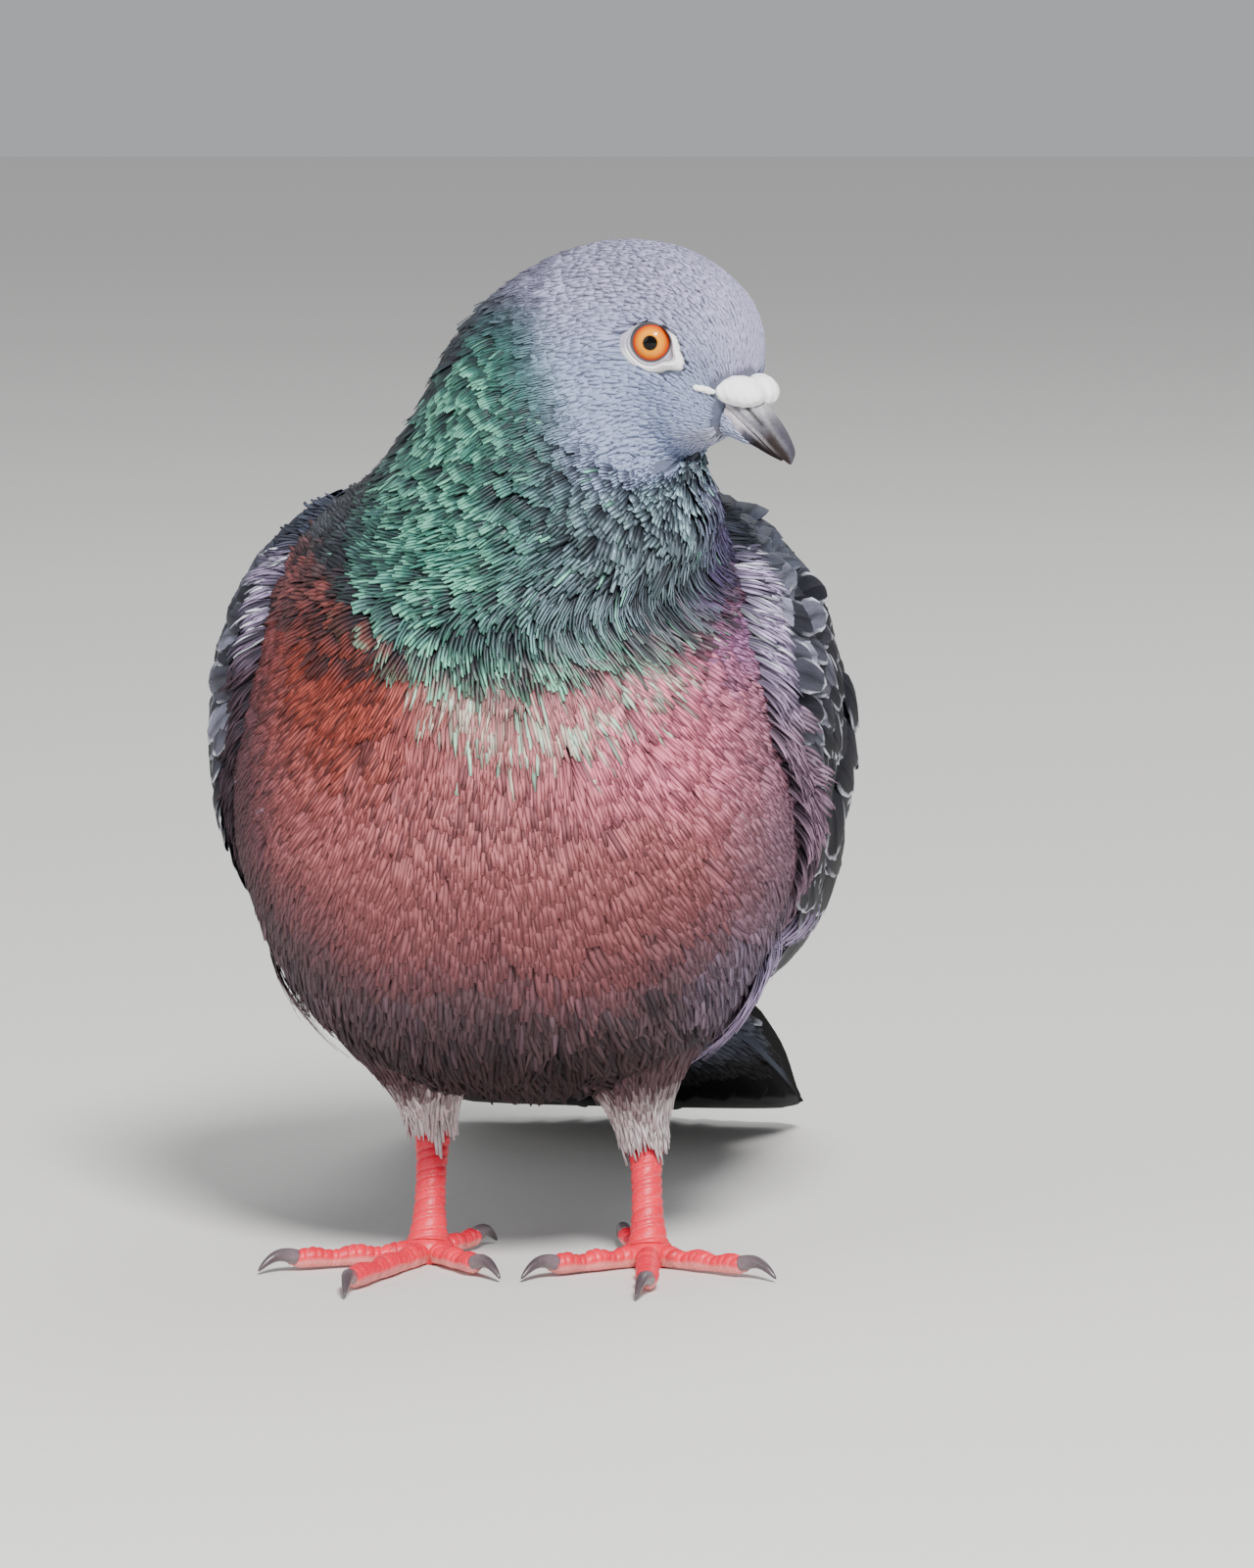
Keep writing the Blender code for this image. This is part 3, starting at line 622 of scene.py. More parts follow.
def plumes(form, row, column, length, width, seed, blades=6, rings=5, round_tip=0.25,
           ragged=0.08, fill=1.2, slit=0.5, slit_from=0.7, lift=(-3.0, 0.0), thick=0.12,
           crown=0.12, turn=0.0, roll=0.1, ruffle=0.08, sway=0.06):
    """Feathers as fans of closed three-sided barb blades over a form.

    With t from root to tip, blade b of a feather runs aside at b * half width * spread, where
    spread is 0.3 + 0.7 sin(pi/2 t / 0.6), and ahead at t * length * (1 - round_tip * b^2). The
    blades overlap by fill and narrow by slit past slit_from, so that gaps open at the tip.
    Height goes from the first lift to the second as 1 - (1 - t)^3, crowned along the middle,
    with a random roll and ruffle.
    """
    random = default_rng(seed)
    n = len(row)
    t = np.linspace(0, 1, rings)[None, None, :, None]
    b = ((2 * np.arange(blades) + 1) / blades - 1)[None, :, None, None]
    corner = np.array([-1.0, 1.0, 0.0])[None, None, None, :]
    ridge = np.array([0.0, 0.0, 1.0])[None, None, None, :]
    half = each(width, row) / 2
    reach = each(length, row) * (1 - round_tip * b * b)
    reach = reach * (1 + ragged * random.normal(0, 1, (n, blades, 1, 1)))
    spread = 0.3 + 0.7 * np.sin(np.pi / 2 * np.clip(t / 0.6, 0, 1))
    cut = each(slit, row) * random.uniform(0.3, 1.3, (n, 1, 1, 1))
    cut = cut * random.uniform(0.7, 1.3, (n, blades, 1, 1))
    narrow = 1 - np.clip(cut, 0, 0.93) * ease(each(slit_from, row), 1.0, t)
    blade = half / blades * fill * spread * narrow
    drift = random.normal(0, 1, (n, blades, 1, 1)) * sway * half / blades * 4 * t * t
    aside = b * half * spread + corner * blade + drift
    ahead = t * reach + 0 * corner
    height = risen(lift, t, row, 3)
    height = height + each(crown, row) * half * (1 - (aside / half) ** 2) * t
    height = height + random.normal(0, 1, (n, 1, 1, 1)) * roll * aside * t * t
    height = height + random.normal(0, 1, (n, blades, 1, 1)) * each(ruffle, row) * t * t
    height = height + ridge * thick * (0.4 + 0.6 * narrow)
    aside, ahead = np.broadcast_arrays(aside, ahead)
    points = on_form(form, row, column, aside, ahead, height, turn)
    ring = np.arange(rings - 1)[:, None] * 3
    start = np.arange(n * blades)[:, None, None] * rings * 3
    seen = np.concatenate([ring + np.array(pair) for pair in ((1, 4, 5, 2), (2, 5, 3, 0))])
    seen, under = ((start + side[None]).reshape(-1, 4) for side in (seen, ring + [0, 3, 4, 1]))
    end = (rings - 1) * 3
    caps = np.array([[0, 1, 2], [end, end + 2, end + 1]])
    caps = (start + caps[None]).reshape(-1, 3)
    extra = per_point(points.shape[:-1], t=t, aside=aside / half, aside_mm=aside, ahead_mm=ahead,
                      feather=np.arange(n)[:, None, None, None],
                      blade=np.arange(n * blades).reshape(n, blades)[:, :, None, None])
    return points.reshape(-1, 3), [seen, under, caps], extra


VANE_ACROSS = np.array([-1, -0.87, -0.76, -0.4, -0.07, 0, 0.07, 0.4, 0.76, 0.87, 1.0])


def vanes(form, row, column, length, width, seed, rings=9, lift=(-1.2, 0.4), thick=0.22,
          crown=0.1, turn=0.0, roll=0.06, narrow=0.45, blunt=2.6, ragged=0.02, notch=0.0):
    """Whole vanes, each a thin closed slab with a raised shaft, over a form.

    The half width swells from the root as (1 - (1 - t/narrow)^2)^0.7 and closes at the tip as
    the square root of 1 - s^blunt. Height goes from the first lift to the second as
    1 - (1 - t)^3, crowned across, and the shaft stands a little proud. notch lets the rim
    wander in and out.
    """
    random = default_rng(seed)
    n = len(row)
    t = (1 - (1 - np.linspace(0, 1, rings)) ** 1.5)[None, :, None]
    c = VANE_ACROSS[None, None, :]
    half, reach = each(width, row, 2) / 2, each(length, row, 2)
    swell = (1 - (1 - np.clip(t / narrow, 0.06, 1)) ** 2) ** 0.7
    close = np.sqrt(1 - (np.clip((t - 0.5) / 0.5, 0, 1) * 0.985) ** blunt)
    ripple = random.normal(0, 1, (n, rings, 1)) * ragged
    aside = c * half * swell * close * (1 + ripple)
    wander = random.normal(0, 1, (n, 1, len(VANE_ACROSS))) * notch
    ahead = t * reach * (1 - 0.04 * c * c + wander) + 0 * half
    height = risen(lift, t, row, 2)
    height = height + crown * half * (1 - c * c) * swell
    height = height + random.normal(0, 1, (n, 1, 1)) * roll * aside * t
    shaft = 0.22 * (np.abs(c) < 0.05) * (1 - 0.7 * t)
    upper = on_form(form, row, column, aside, ahead, height + shaft, turn)
    thin = thick * (1 - 0.6 * np.abs(c) ** 3) + 0 * t
    lower = on_form(form, row, column, aside, ahead, height - thin, turn)
    columns = len(VANE_ACROSS)
    points = np.stack([upper, lower], 1)
    face = grid_faces(rings, columns, False)
    sheet = rings * columns
    rim = np.concatenate([
        np.arange(columns),
        np.arange(1, rings) * columns + columns - 1,
        (rings - 1) * columns + np.arange(columns - 2, -1, -1),
        np.arange(rings - 2, 0, -1) * columns,
    ])
    after = np.roll(rim, -1)
    wall = np.stack([after, rim, rim + sheet, after + sheet], -1)
    start = np.arange(n)[:, None, None] * 2 * sheet
    under = np.concatenate([face[:, ::-1] + sheet, wall])
    seen, under = ((start + block[None]).reshape(-1, 4) for block in (face, under))
    extra = per_point(points.shape[:-1], t=t[:, None], aside=c[:, None], aside_mm=aside[:, None],
                      ahead_mm=ahead[:, None], feather=np.arange(n)[:, None, None, None])
    return points.reshape(-1, 3), [seen, under], extra


def patches(form, row, column, extra, length, width, wide=0.003):
    """Each feather's place in the bake: a small patch at its root on the form's own unwrap."""
    low, high = row.min(), row.max()
    spot = np.stack([
        0.01 + 0.98 * (column / form.columns) % 1.0,
        0.01 + 0.98 * (row - low) / (high - low + 1e-6),
    ], -1)
    across = np.broadcast_to(width, row.shape)[extra["feather"]]
    along = np.broadcast_to(length, row.shape)[extra["feather"]]
    inner = np.stack([extra["aside_mm"] / across, extra["ahead_mm"] / along - 0.5], -1)
    return spot[extra["feather"]] + wide * np.clip(inner, -0.5, 0.5)


def lie_of(extra, seed):
    """(across mm, along mm, a random number for each feather), for the barbs' pattern."""
    random = default_rng(seed + 900)
    own = random.uniform(0, 50, extra["feather"].max() + 1)[extra["feather"]]
    return np.stack([extra["aside_mm"], extra["ahead_mm"], own], -1)


def shade_feathers(tone, extra, seed, base=0.45, dark_until=0.55, vary=0.1, blade_vary=0.06,
                   streaks=(), glow=None, edge=None, edge_share=0.0, shaft=0.0):
    """A feather's colours: dark down at its root, which also paints the shade in the gaps between
    feathers, its tone at the tip, each a bit apart.

    streaks holds (colour, chance for each feather, strength): single blades that take a colour;
    blades in the down colour are painted shade in the gaps.
    glow is each feather's share of mint, a painted highlight over the last quarter of its length.
    """
    random = default_rng(seed + 50)
    n = extra["feather"].max() + 1
    own = 1 + vary * random.normal(0, 1, n)[extra["feather"]]
    shades = tone[extra["feather"]] * own[:, None]
    if "blade" in extra:
        apart = 1 + blade_vary * random.normal(0, 1, extra["blade"].max() + 1)
        shades = shades * apart[extra["blade"]][:, None]
        for ink, chance, strength in streaks:
            picked = random.uniform(0, 1, extra["blade"].max() + 1)[extra["blade"]]
            likely = np.broadcast_to(chance, (n,))[extra["feather"]]
            shades = blend(shades, colour(ink), strength * (picked < likely))
    if glow is not None:
        strength = glow[extra["feather"]] * ease(0.72, 0.88, extra["t"])
        shades = blend(shades, colour("mint"), strength)
    share = np.broadcast_to(np.asarray(base, float), (n,))[extra["feather"]][:, None]
    dark = colour("down") * (1 - share) + shades * share
    shades = blend(dark, shades, ease(dark_until - 0.12, dark_until + 0.12, extra["t"]))
    if edge is not None:
        rim = np.maximum(ease(0.76, 0.87, np.abs(extra["aside"])) * ease(0.4, 0.7, extra["t"]),
                         ease(0.9, 0.95, extra["t"]))
        strength = np.clip(random.normal(1, 0.3, n), 0.2, 1.4)[extra["feather"]]
        line = np.clip(np.broadcast_to(edge_share, (n,))[extra["feather"]] * strength * rim, 0, 1)
        shades = blend(shades, colour(edge), line)
        spine = bump_at(extra["aside"], 0, 0.14) * (1 - ease(0.85, 1, extra["t"]))
        shades = blend(shades, colour("flight") * 0.6, shaft * spine)
    return shades


def plumage(form, row, column, shapes, length, width, tone, seed, *shades, **more):
    """Shaped feathers' points, faces, colours, lie and places in the bake."""
    points, faces, extra = shapes
    shades = shade_feathers(tone, extra, seed, *shades, **more)
    return (points, faces, shades, lie_of(extra, seed),
            patches(form, row, column, extra, length, width))


# ---- markings


def painted(tone, *layers):
    """A tone, or a colour's name, under further colours: (name, share) for each, in turn."""
    tone = colour(tone) if isinstance(tone, str) else tone
    for name, share in layers:
        tone = blend(tone, colour(name), share)
    return tone


def zone(x, z, middle, spread):
    """A soft oval patch over places aside and heights: e to the minus squared distance."""
    return np.exp(-(((x - middle[0]) / spread[0]) ** 2) - ((z - middle[1]) / spread[1]) ** 2)


def collar(x):
    """Height of the green collar's lower edge at a place aside: an arc, lowest at 3 mm."""
    return 105.0 + np.where(x < 3, 0.0145, 0.0205) * (x - 3) ** 2


def painted_nape_shade(x, z):
    """How far places lie in the painted shade on the bird's right of the nape: beyond an edge that
    leans in over 134 mm.
    """
    edge = -32.5 + 0.6 * np.maximum(0, z - 134)
    return ease(edge + 2, edge - 3, x) * ease(114, 122, z)


def markings(at, turn, point):
    """The colour of the coat at places on the body, painted sheen and shade included, with no
    feather's own detail.

    Zones are blended by station number (head 0 to 7, neck to 13, breast and belly to 20, tail
    from 22), by turn round the body and by place aside (x) and height (z) in millimetres.
    """
    x, z = point[..., 0], point[..., 2]
    back = np.sin(2 * np.pi * turn)
    side = np.cos(2 * np.pi * turn)
    lores = bump_at(at, 1.8, 1.5) * bump_at(back, 0.3, 0.4) * ease(0.3, 0.8, np.abs(side))
    tone = painted("cheek", ("crown", ease(-0.1, 0.7, back)), ("lores", 0.8 * lores),
                   ("chin", bump_at(at, 0.5, 2.5) * ease(-0.5, -0.9, back) * 0.8))
    # neck: a grey throat, green from behind the ears with emerald as painted iridescent sheen
    # where the light falls, a nape darkened as painted shade, and a violet painted sheen at the
    # side
    reach = at + 0.7 * ease(0.2, 0.9, side) - 1.2 * ease(-0.2, -0.95, back)
    green = ease(7.5, 8.9, reach - 0.8 * ease(0.3, 0.9, back))
    # shine is a painted iridescent sheen, brightest where the light falls on the neck
    shine = zone(x, z, (-13, 158), (10, 19)) + zone(x, z, (-19, 127), (13, 17))
    shine = np.clip(shine + 0.8 * zone(x, z, (8, 111), (24, 7)), 0, 1)
    shine = shine * (1 - 0.7 * zone(x, z, (15, 139), (13, 13))) * ease(0.7, 0.2, back)
    shoulder = ease(0.05, 0.5, back) * ease(9.6, 11.2, at)
    neck = painted("slate_neck", ("teal", ease(118, 134, z) * ease(14, -4, x)),
                   ("emerald", 0.9 * shine), ("violet", ease(27, 33, x) * ease(152, 140, z)),
                   ("nape", np.maximum(shoulder, painted_nape_shade(x, z))))
    # breast: cream flecks under the collar; brick to the bird's right and rose to its left are a
    # painted iridescent sheen, which in life shifts with the view
    below = collar(x) - z
    fleck = bump_at(below, 3.0, 4.5) * ease(34, 12, np.abs(x - 2))
    breast = painted("wine", ("rose", ease(-6, 22, x) * ease(80, 96, z)),
                     ("brick", np.clip(1.25 * zone(x, z, (-36, 109), (16, 21)), 0, 1)),
                     # plum: painted shade on the bird's right, away from the light
                     ("flank", ease(27, 47, x) * 0.8), ("plum", ease(-42, -54, x) * 0.85),
                     ("violet", 0.6 * zone(x, z, (36, 118), (8, 9))), ("cream", 0.18 * fleck))
    # painted shade: the breast darkens by up to 0.3 below 84 mm, where it turns under
    breast = breast * (1 - 0.3 * ease(84, 66, z))[..., None]
    low_neck = ease(-3.0, 3.0, below) * ease(10.5, 12.0, at)
    low_neck = np.maximum(low_neck, ease(13.2, 14.2, at))
    # belly, darker lower down as painted shade over its own grey-brown and darkest between the
    # legs, then the back, the rump and the tail over it
    fade = ease(68, 44, z - 0.0055 * x * x + 2.5 * np.sin(x / 6.0)) * ease(13, 14, at)
    upper = ease(0.05, 0.4, back) * ease(12.2, 13.4, at)
    return painted(blend(blend(tone, neck, green), breast, low_neck), ("belly", fade),
                   ("belly_deep", 0.85 * (ease(52, 34, z) * ease(15, 16, at))),
                   ("flank_pale", 0.4 * zone(x, z, (40, 50), (9, 13)) * ease(14, 15, at)),
                   ("mantle", upper),
                   ("rump", upper * ease(18.0, 19.5, at) * ease(23.0, 22.0, at)),
                   ("undertail", ease(20.0, 21.5, at) * (1 - upper)),
                   ("tail", ease(23.5, 25.0, at)))


def gleam(tone, at, turn, point, random):
    """Painted highlight and shade: a share of hackles, by place, turn mint as if lit, and others
    are painted darker, as hackles that catch no light.
    """
    x, z = point[:, 0], point[:, 2]
    lit = zone(x, z, (-14, 158), (9, 18)) + zone(x, z, (-20, 127), (13, 16))
    lit = np.clip(lit + 0.7 * zone(x, z, (6, 110), (26, 7)), 0, 1)
    lit = (0.06 + 0.94 * lit) * ease(0.55, 0.0, np.sin(2 * np.pi * turn))
    lit = lit * (1 - 0.85 * painted_nape_shade(x, z))
    pick = random.uniform(0, 1, len(at))
    strong = ease(7.8, 8.8, at) * ease(collar(x) - 8, collar(x) - 2, z)
    tone = painted(tone, ("down", 0.6 * (pick > 0.6) * ease(8.2, 9.2, at)))
    glow = (0.25 + 0.75 * (pick < 0.5)) * np.clip(1.5 * lit, 0, 1) * strong
    # mint blades are painted glints, and down blades painted shade between the hackles
    streaks = ("mint", 0.14 * lit * strong, 0.7), ("down", 0.16 * strong, 0.6)
    return tone, streaks, 0.9 * glow


def flecked(tone, at, turn, point, random):
    """Flecks under the collar: scattered barbs that keep the collar's mint and cream."""
    x, z = point[:, 0], point[:, 2]
    below = collar(x) - z
    near = bump_at(below, 3.0, 5.5) * ease(40, 24, np.abs(x))
    far = 0.1 + 0.2 * bump_at(np.hypot(x + 8, 1.2 * (z - 118)), 38, 7)
    return tone, (("cream", 0.4 * near, 0.7), ("mint", 0.2 * near, 0.5),
                  ("down", far + 0.08 * near, 0.5)), None


def brushed(tone, at, turn, point, random):
    """Lower breast: a few darker and paler barbs, in loose bands round the crop."""
    x, z = point[:, 0], point[:, 2]
    band = np.sin(np.hypot(x - 4, z - 128) / 4.2 + 0.8 * np.sin(x / 9)) ** 4
    pale = 0.07 * ease(84, 92, z)
    tone = tone * (1 - 0.05 * band)[:, None]
    return tone, (("down", 0.03 + 0.16 * band, 0.22), ("chin", pale, 0.2)), None


def wisps(tone, at, turn, point, random):
    """Belly feathers: here and there a pale barb, most of them towards the legs."""
    chance = 0.03 + 0.15 * ease(75, 45, point[:, 2]) * ease(-6, -26, point[:, 0])
    return tone, (("flank", chance, 0.16), ("down", 0.25, 0.45)), None


# ---- materials


def add_node(tree, kind, sockets=None, **settings):
    """Adds a node; each socket is given a value or, for another node's output, a link."""
    made = tree.nodes.new(kind)
    for key, value in settings.items():
        setattr(made, key, value)
    for key, value in (sockets or {}).items():
        if isinstance(value, bpy.types.NodeSocket):
            tree.links.new(value, made.inputs[key])
        else:
            made.inputs[key].default_value = value
    return made


def grained_look(name, constants, add_place, noise, grain, depth, distance):
    """The mesh's own colours, made lighter and darker by a fine noise that also lifts them.

    Noise from 0.3 to 0.7 becomes a factor from 1 - grain to 1 + grain. add_place gives the tree
    the nodes that the noise is read over. Constants sit on the shader's own sockets.
    """
    look = bpy.data.materials.new(name)
    look.use_nodes = True
    tree = look.node_tree
    shader = tree.nodes["Principled BSDF"]
    for key, value in constants.items():
        shader.inputs[key].default_value = value
    coat = add_node(tree, "ShaderNodeAttribute", attribute_name="Coat")
    noise = {"Vector": add_place(tree)} | noise
    fine = add_node(tree, "ShaderNodeTexNoise", noise).outputs[0]
    factor = add_node(tree, "ShaderNodeMapRange", {
        "Value": fine, "From Min": 0.3, "From Max": 0.7, "To Min": 1.0 - grain,
        "To Max": 1.0 + grain,
    })
    shade = add_node(tree, "ShaderNodeVectorMath", {
        0: coat.outputs["Color"], 1: factor.outputs[0]
    }, operation="MULTIPLY")
    tree.links.new(shade.outputs[0], shader.inputs["Base Color"])
    relief = add_node(tree, "ShaderNodeBump", {
        "Height": fine, "Strength": depth, "Distance": distance
    })
    tree.links.new(relief.outputs[0], shader.inputs["Normal"])
    return look


def feather_look(name, roughness, metallic=0.0, gloss=0.2, barb=3.2, depth=0.25, grain=0.16):
    """Keratin barbs: soft, faintly silky, each feather streaked along its own barbs.

    Real barbs stand about 0.1 mm apart; they are drawn about 0.3 mm apart so that they show.
    The streaks are noise over (across, along) of each feather, stretched along it.
    """
    def along_the_barbs(tree):
        lie = add_node(tree, "ShaderNodeAttribute", attribute_name="Lie")
        return add_node(tree, "ShaderNodeMapping", {
            "Vector": lie.outputs["Vector"], "Scale": (barb, barb * 0.16, 1.0)
        }).outputs[0]

    constants = {"Roughness": roughness, "Metallic": metallic, "IOR": 1.54,
                 "Specular IOR Level": gloss}
    return grained_look(name, constants, along_the_barbs, {"Scale": 1.0, "Detail": 2.0}, grain,
                        depth, 0.0002)


def skin_look(name, roughness, scale, depth, grain=0.1, distance=0.0003, **constants):
    """Skin or horn: the mesh's own colours, with a fine noise in object space as its grain.

    Scale is features to the metre, so 2000 gives grains half a millimetre across.
    """
    def in_space(tree):
        return add_node(tree, "ShaderNodeTexCoord").outputs["Object"]

    return grained_look(name, {"Roughness": roughness, **constants}, in_space,
                        {"Scale": scale, "Detail": 3.0}, grain, depth, distance)


# ---- the coat's plan

EYE_RADIUS = 4.9
EYE_SPREAD = 8.5
EYE_AHEAD = 0.7
EYE_TURN = 28.0  # the eye looks this far forward of straight aside
SKIN_DEPTH = ((0, 0.7), (3, 0.9), (7, 1.4), (9, 2.2), (13, 2.8), (16, 3.0), (20, 3.0), (23, 2.0),
              (28, 0.5))
RING_OUT = 3.6  # the bare ring's plane is this far out from the eye's centre
RING_REACH = 9.0  # feathers past this distance are on the face's other side
CERE_CLEAR = 2.3  # no feather is rooted nearer than this to the cere's middle line
CERE_REAR = (11.3, 161.4, 5.0)
CERE_FRONT = (19.3, 160.8, 0.9)
CERE_RADII = (4.9, 3.0, 3.1)


def eye_frame(side):
    """The eye's centre, its axis outwards, and the ways forward and up round it."""
    forward, right = direction(HEAD_YAW)
    aside = right * side
    turn = np.radians(EYE_TURN)
    axis = aside * np.cos(turn) + forward * np.sin(turn)
    ahead = forward * np.cos(turn) - aside * np.sin(turn)
    centre = on_head(EYE_AHEAD, MID_EYE[2], side * EYE_SPREAD)
    return centre, axis, ahead, UP


def cere_ends(side):
    """The middles of a cere lobe's rear and front."""
    return (on_head(ahead, height, side * aside) for ahead, height, aside in
            (CERE_REAR, CERE_FRONT))


def ring_radius(angle):
    """Outer radius of the bare ring round the eye, widest below and behind (0 is ahead)."""
    corner = np.exp(-((((angle + 0.62 + np.pi) % (2 * np.pi) - np.pi) / 0.27) ** 2))
    oval = 0.3 * np.cos(2 * angle) + 0.15 * np.cos(4 * angle)
    return 4.25 - 0.6 * np.sin(angle) - 0.3 * np.cos(angle) + oval + 1.7 * corner


def clear_of_face(form, row, column, length):
    """True for the feathers that leave the eyes, their rings and the cere bare.

    Places from root to past the tip keep clear of the ring, and those near the tip, which
    bend down over the face, keep clear by more.
    """
    keep = np.ones(len(row), bool)
    root, _, down, _, _ = form.read(row, column)
    ahead = unit(down)
    for side in (1, -1):
        centre, axis, fore, up = eye_frame(side)
        for share in (0.0, 0.35, 0.7, 1.0, 1.15):
            away = root + ahead * (length * share)[:, None] - centre - axis * RING_OUT
            x, z = away @ fore, away @ up
            bare = np.hypot(x, z) < ring_radius(np.arctan2(z, x)) + 0.05 + 0.9 * share
            keep &= ~(bare & (norm(away, axis=-1) < RING_REACH))
        rear, front = cere_ends(side)
        span = front - rear
        share = np.clip(((root - rear) @ span) / (span @ span), 0, 1)
        away = norm(root - rear - share[:, None] * span, axis=-1)
        keep &= away > CERE_CLEAR
    return keep


SIDE_STEP = 1.5
WING_SINK = 1.3  # the coverts' surface lies this far inside the model's, which they rise to


class SideView:
    """The trunk and one folded wing seen from the side, and where the wing covers it.

    Over a grid of places ahead and heights, the level is the furthest out of trunk and wing,
    eased between neighbours so that feathers can pass over the wing's edge.
    """

    def __init__(self, sign):
        self.forward, right = direction(BODY_YAW)
        self.outwards = right * -sign
        self.ahead = np.arange(47.0, -150.0, -SIDE_STEP)
        self.height = np.arange(20.0, 148.0, SIDE_STEP)
        at, turn = np.linspace(9.5, 24.0, 700)[:, None], (np.arange(500) / 500)[None]
        trunk = body_points(at, turn).reshape(-1, 3)
        middle, normal, thick, _ = wing_surface(sign, 221, 113)
        shell = (middle + normal * (thick - WING_SINK)).reshape(-1, 3)
        level = np.full((len(self.ahead), len(self.height)), -99.0)
        cover = np.zeros_like(level)
        for cloud in (trunk, shell):
            i, j = (np.rint(v).astype(int) for v in self.places(cloud))
            out = cloud @ self.outwards
            held = (i >= 0) & (i < level.shape[0]) & (j >= 0) & (j < level.shape[1]) & (out > 3)
            np.maximum.at(level, (i[held], j[held]), out[held])
        cover[i[held], j[held]] = 1.0
        for _ in range(16):
            around = np.max([np.roll(level, s, a) for s in (1, -1) for a in (0, 1)], axis=0)
            level = np.where(level < -90, around - 1.5, level)
        level = self.eased(np.maximum(level, 2.0), 4)
        self.cover = self.eased(cover, 10)[..., None]
        points = (self.ahead[:, None, None] * self.forward + level[..., None] * self.outwards
                  + self.height[None, :, None] * UP)
        self.form = Form(points, False, self.outwards)

    def places(self, point):
        """Row and column in the side view of points in space."""
        row = (self.ahead[0] - point @ self.forward) / SIDE_STEP
        return row, (point[..., 2] - self.height[0]) / SIDE_STEP

    def eased(self, level, times):
        """Each value moved towards its four neighbours' mean, times over."""
        for _ in range(times):
            held = np.pad(level, 1, mode="edge")
            near = held[2:, 1:-1] + held[:-2, 1:-1] + held[1:-1, 2:] + held[1:-1, :-2]
            level = level / 2 + near / 8
        return level

    def covered(self, point):
        """How far places lie under the wing: 0 clear of it, 1 well under it."""
        return self.form.take(self.cover, *self.places(point))[0][..., 0]


OUTWARD_TURN = np.radians(58)  # most that a breast feather turns away from the middle
WELL_COVERED = 0.8  # past this cover by the wing no feather is laid
SEEN_SHARE = 0.82  # of its length, where a feather shows the most
VANE_SEEN_SHARE = 0.8  # the same for the back's vanes


def lie_out(at, side):
    """How far breast feathers turn away from the middle: most at the sides of the crop."""
    share = ease(10.5, 12.5, at) * (1 - 0.8 * ease(15.5, 18.0, at))
    return OUTWARD_TURN * share * side * ease(-0.1, 0.35, np.abs(side))


def coat(name, form, look, slot, first, last, along, across, length, width, seed, views=None,
         *, shades, tint=None, stray=0.07, top=0.0, **shape):
    """A coat piece of fanned feathers between two stations of the body.

    Sizes may be tables by station. None are laid under a folded wing seen in views. shades
    holds base, dark_until, vary and blade_vary, for shade_feathers.
    """
    row, column = lay_roots(form, first * STEPS, last * STEPS, along, across, seed)
    random = default_rng(seed + 7)
    at, turn = row / STEPS, column / TURNS
    root = form.read(row, column)[0]
    side = np.cos(2 * np.pi * turn)
    long, wide = (varied(by_station(v, at), 0.1, random, len(row)) for v in (length, width))
    keep = clear_of_face(form, row, column, long) if first < 6 else np.ones(len(row), bool)
    for sign, view in (views or {}).items():
        keep &= ~((view.covered(root) > WELL_COVERED) & (np.sign(-side) == sign))
    row, column, at, side, long, wide = (v[keep] for v in (row, column, at, side, long, wide))
    own = {key: by_station(value, at) for key, value in shape.items()}
    top, stray = by_station(top, at), by_station(stray, at)
    lie = lie_out(at, side) + stray * random.normal(0, 1, len(row))
    shapes = plumes(form, row, column, long, wide, seed, turn=lie,
                    lift=(-by_station(SKIN_DEPTH, at), top), **own)
    # A feather shows near its tip, so its colour is that of the place its tip lies on.
    row_seen, column_seen = walk(form, row, column, 0 * long, SEEN_SHARE * long, lie)
    at, turn, root = row_seen / STEPS, column_seen / TURNS, form.read(row_seen, column_seen)[0]
    tone = markings(at, turn, root)
    shades = [by_station(value, at) for value in shades]
    if tint is not None:
        tone, *more = tint(tone, at, turn, root, random)
        shades += more
    add_piece(name, slot, look, plumage(form, row, column, shapes, long, wide, tone, seed,
                                        *shades), flat=(1, 2))


# ---- operators


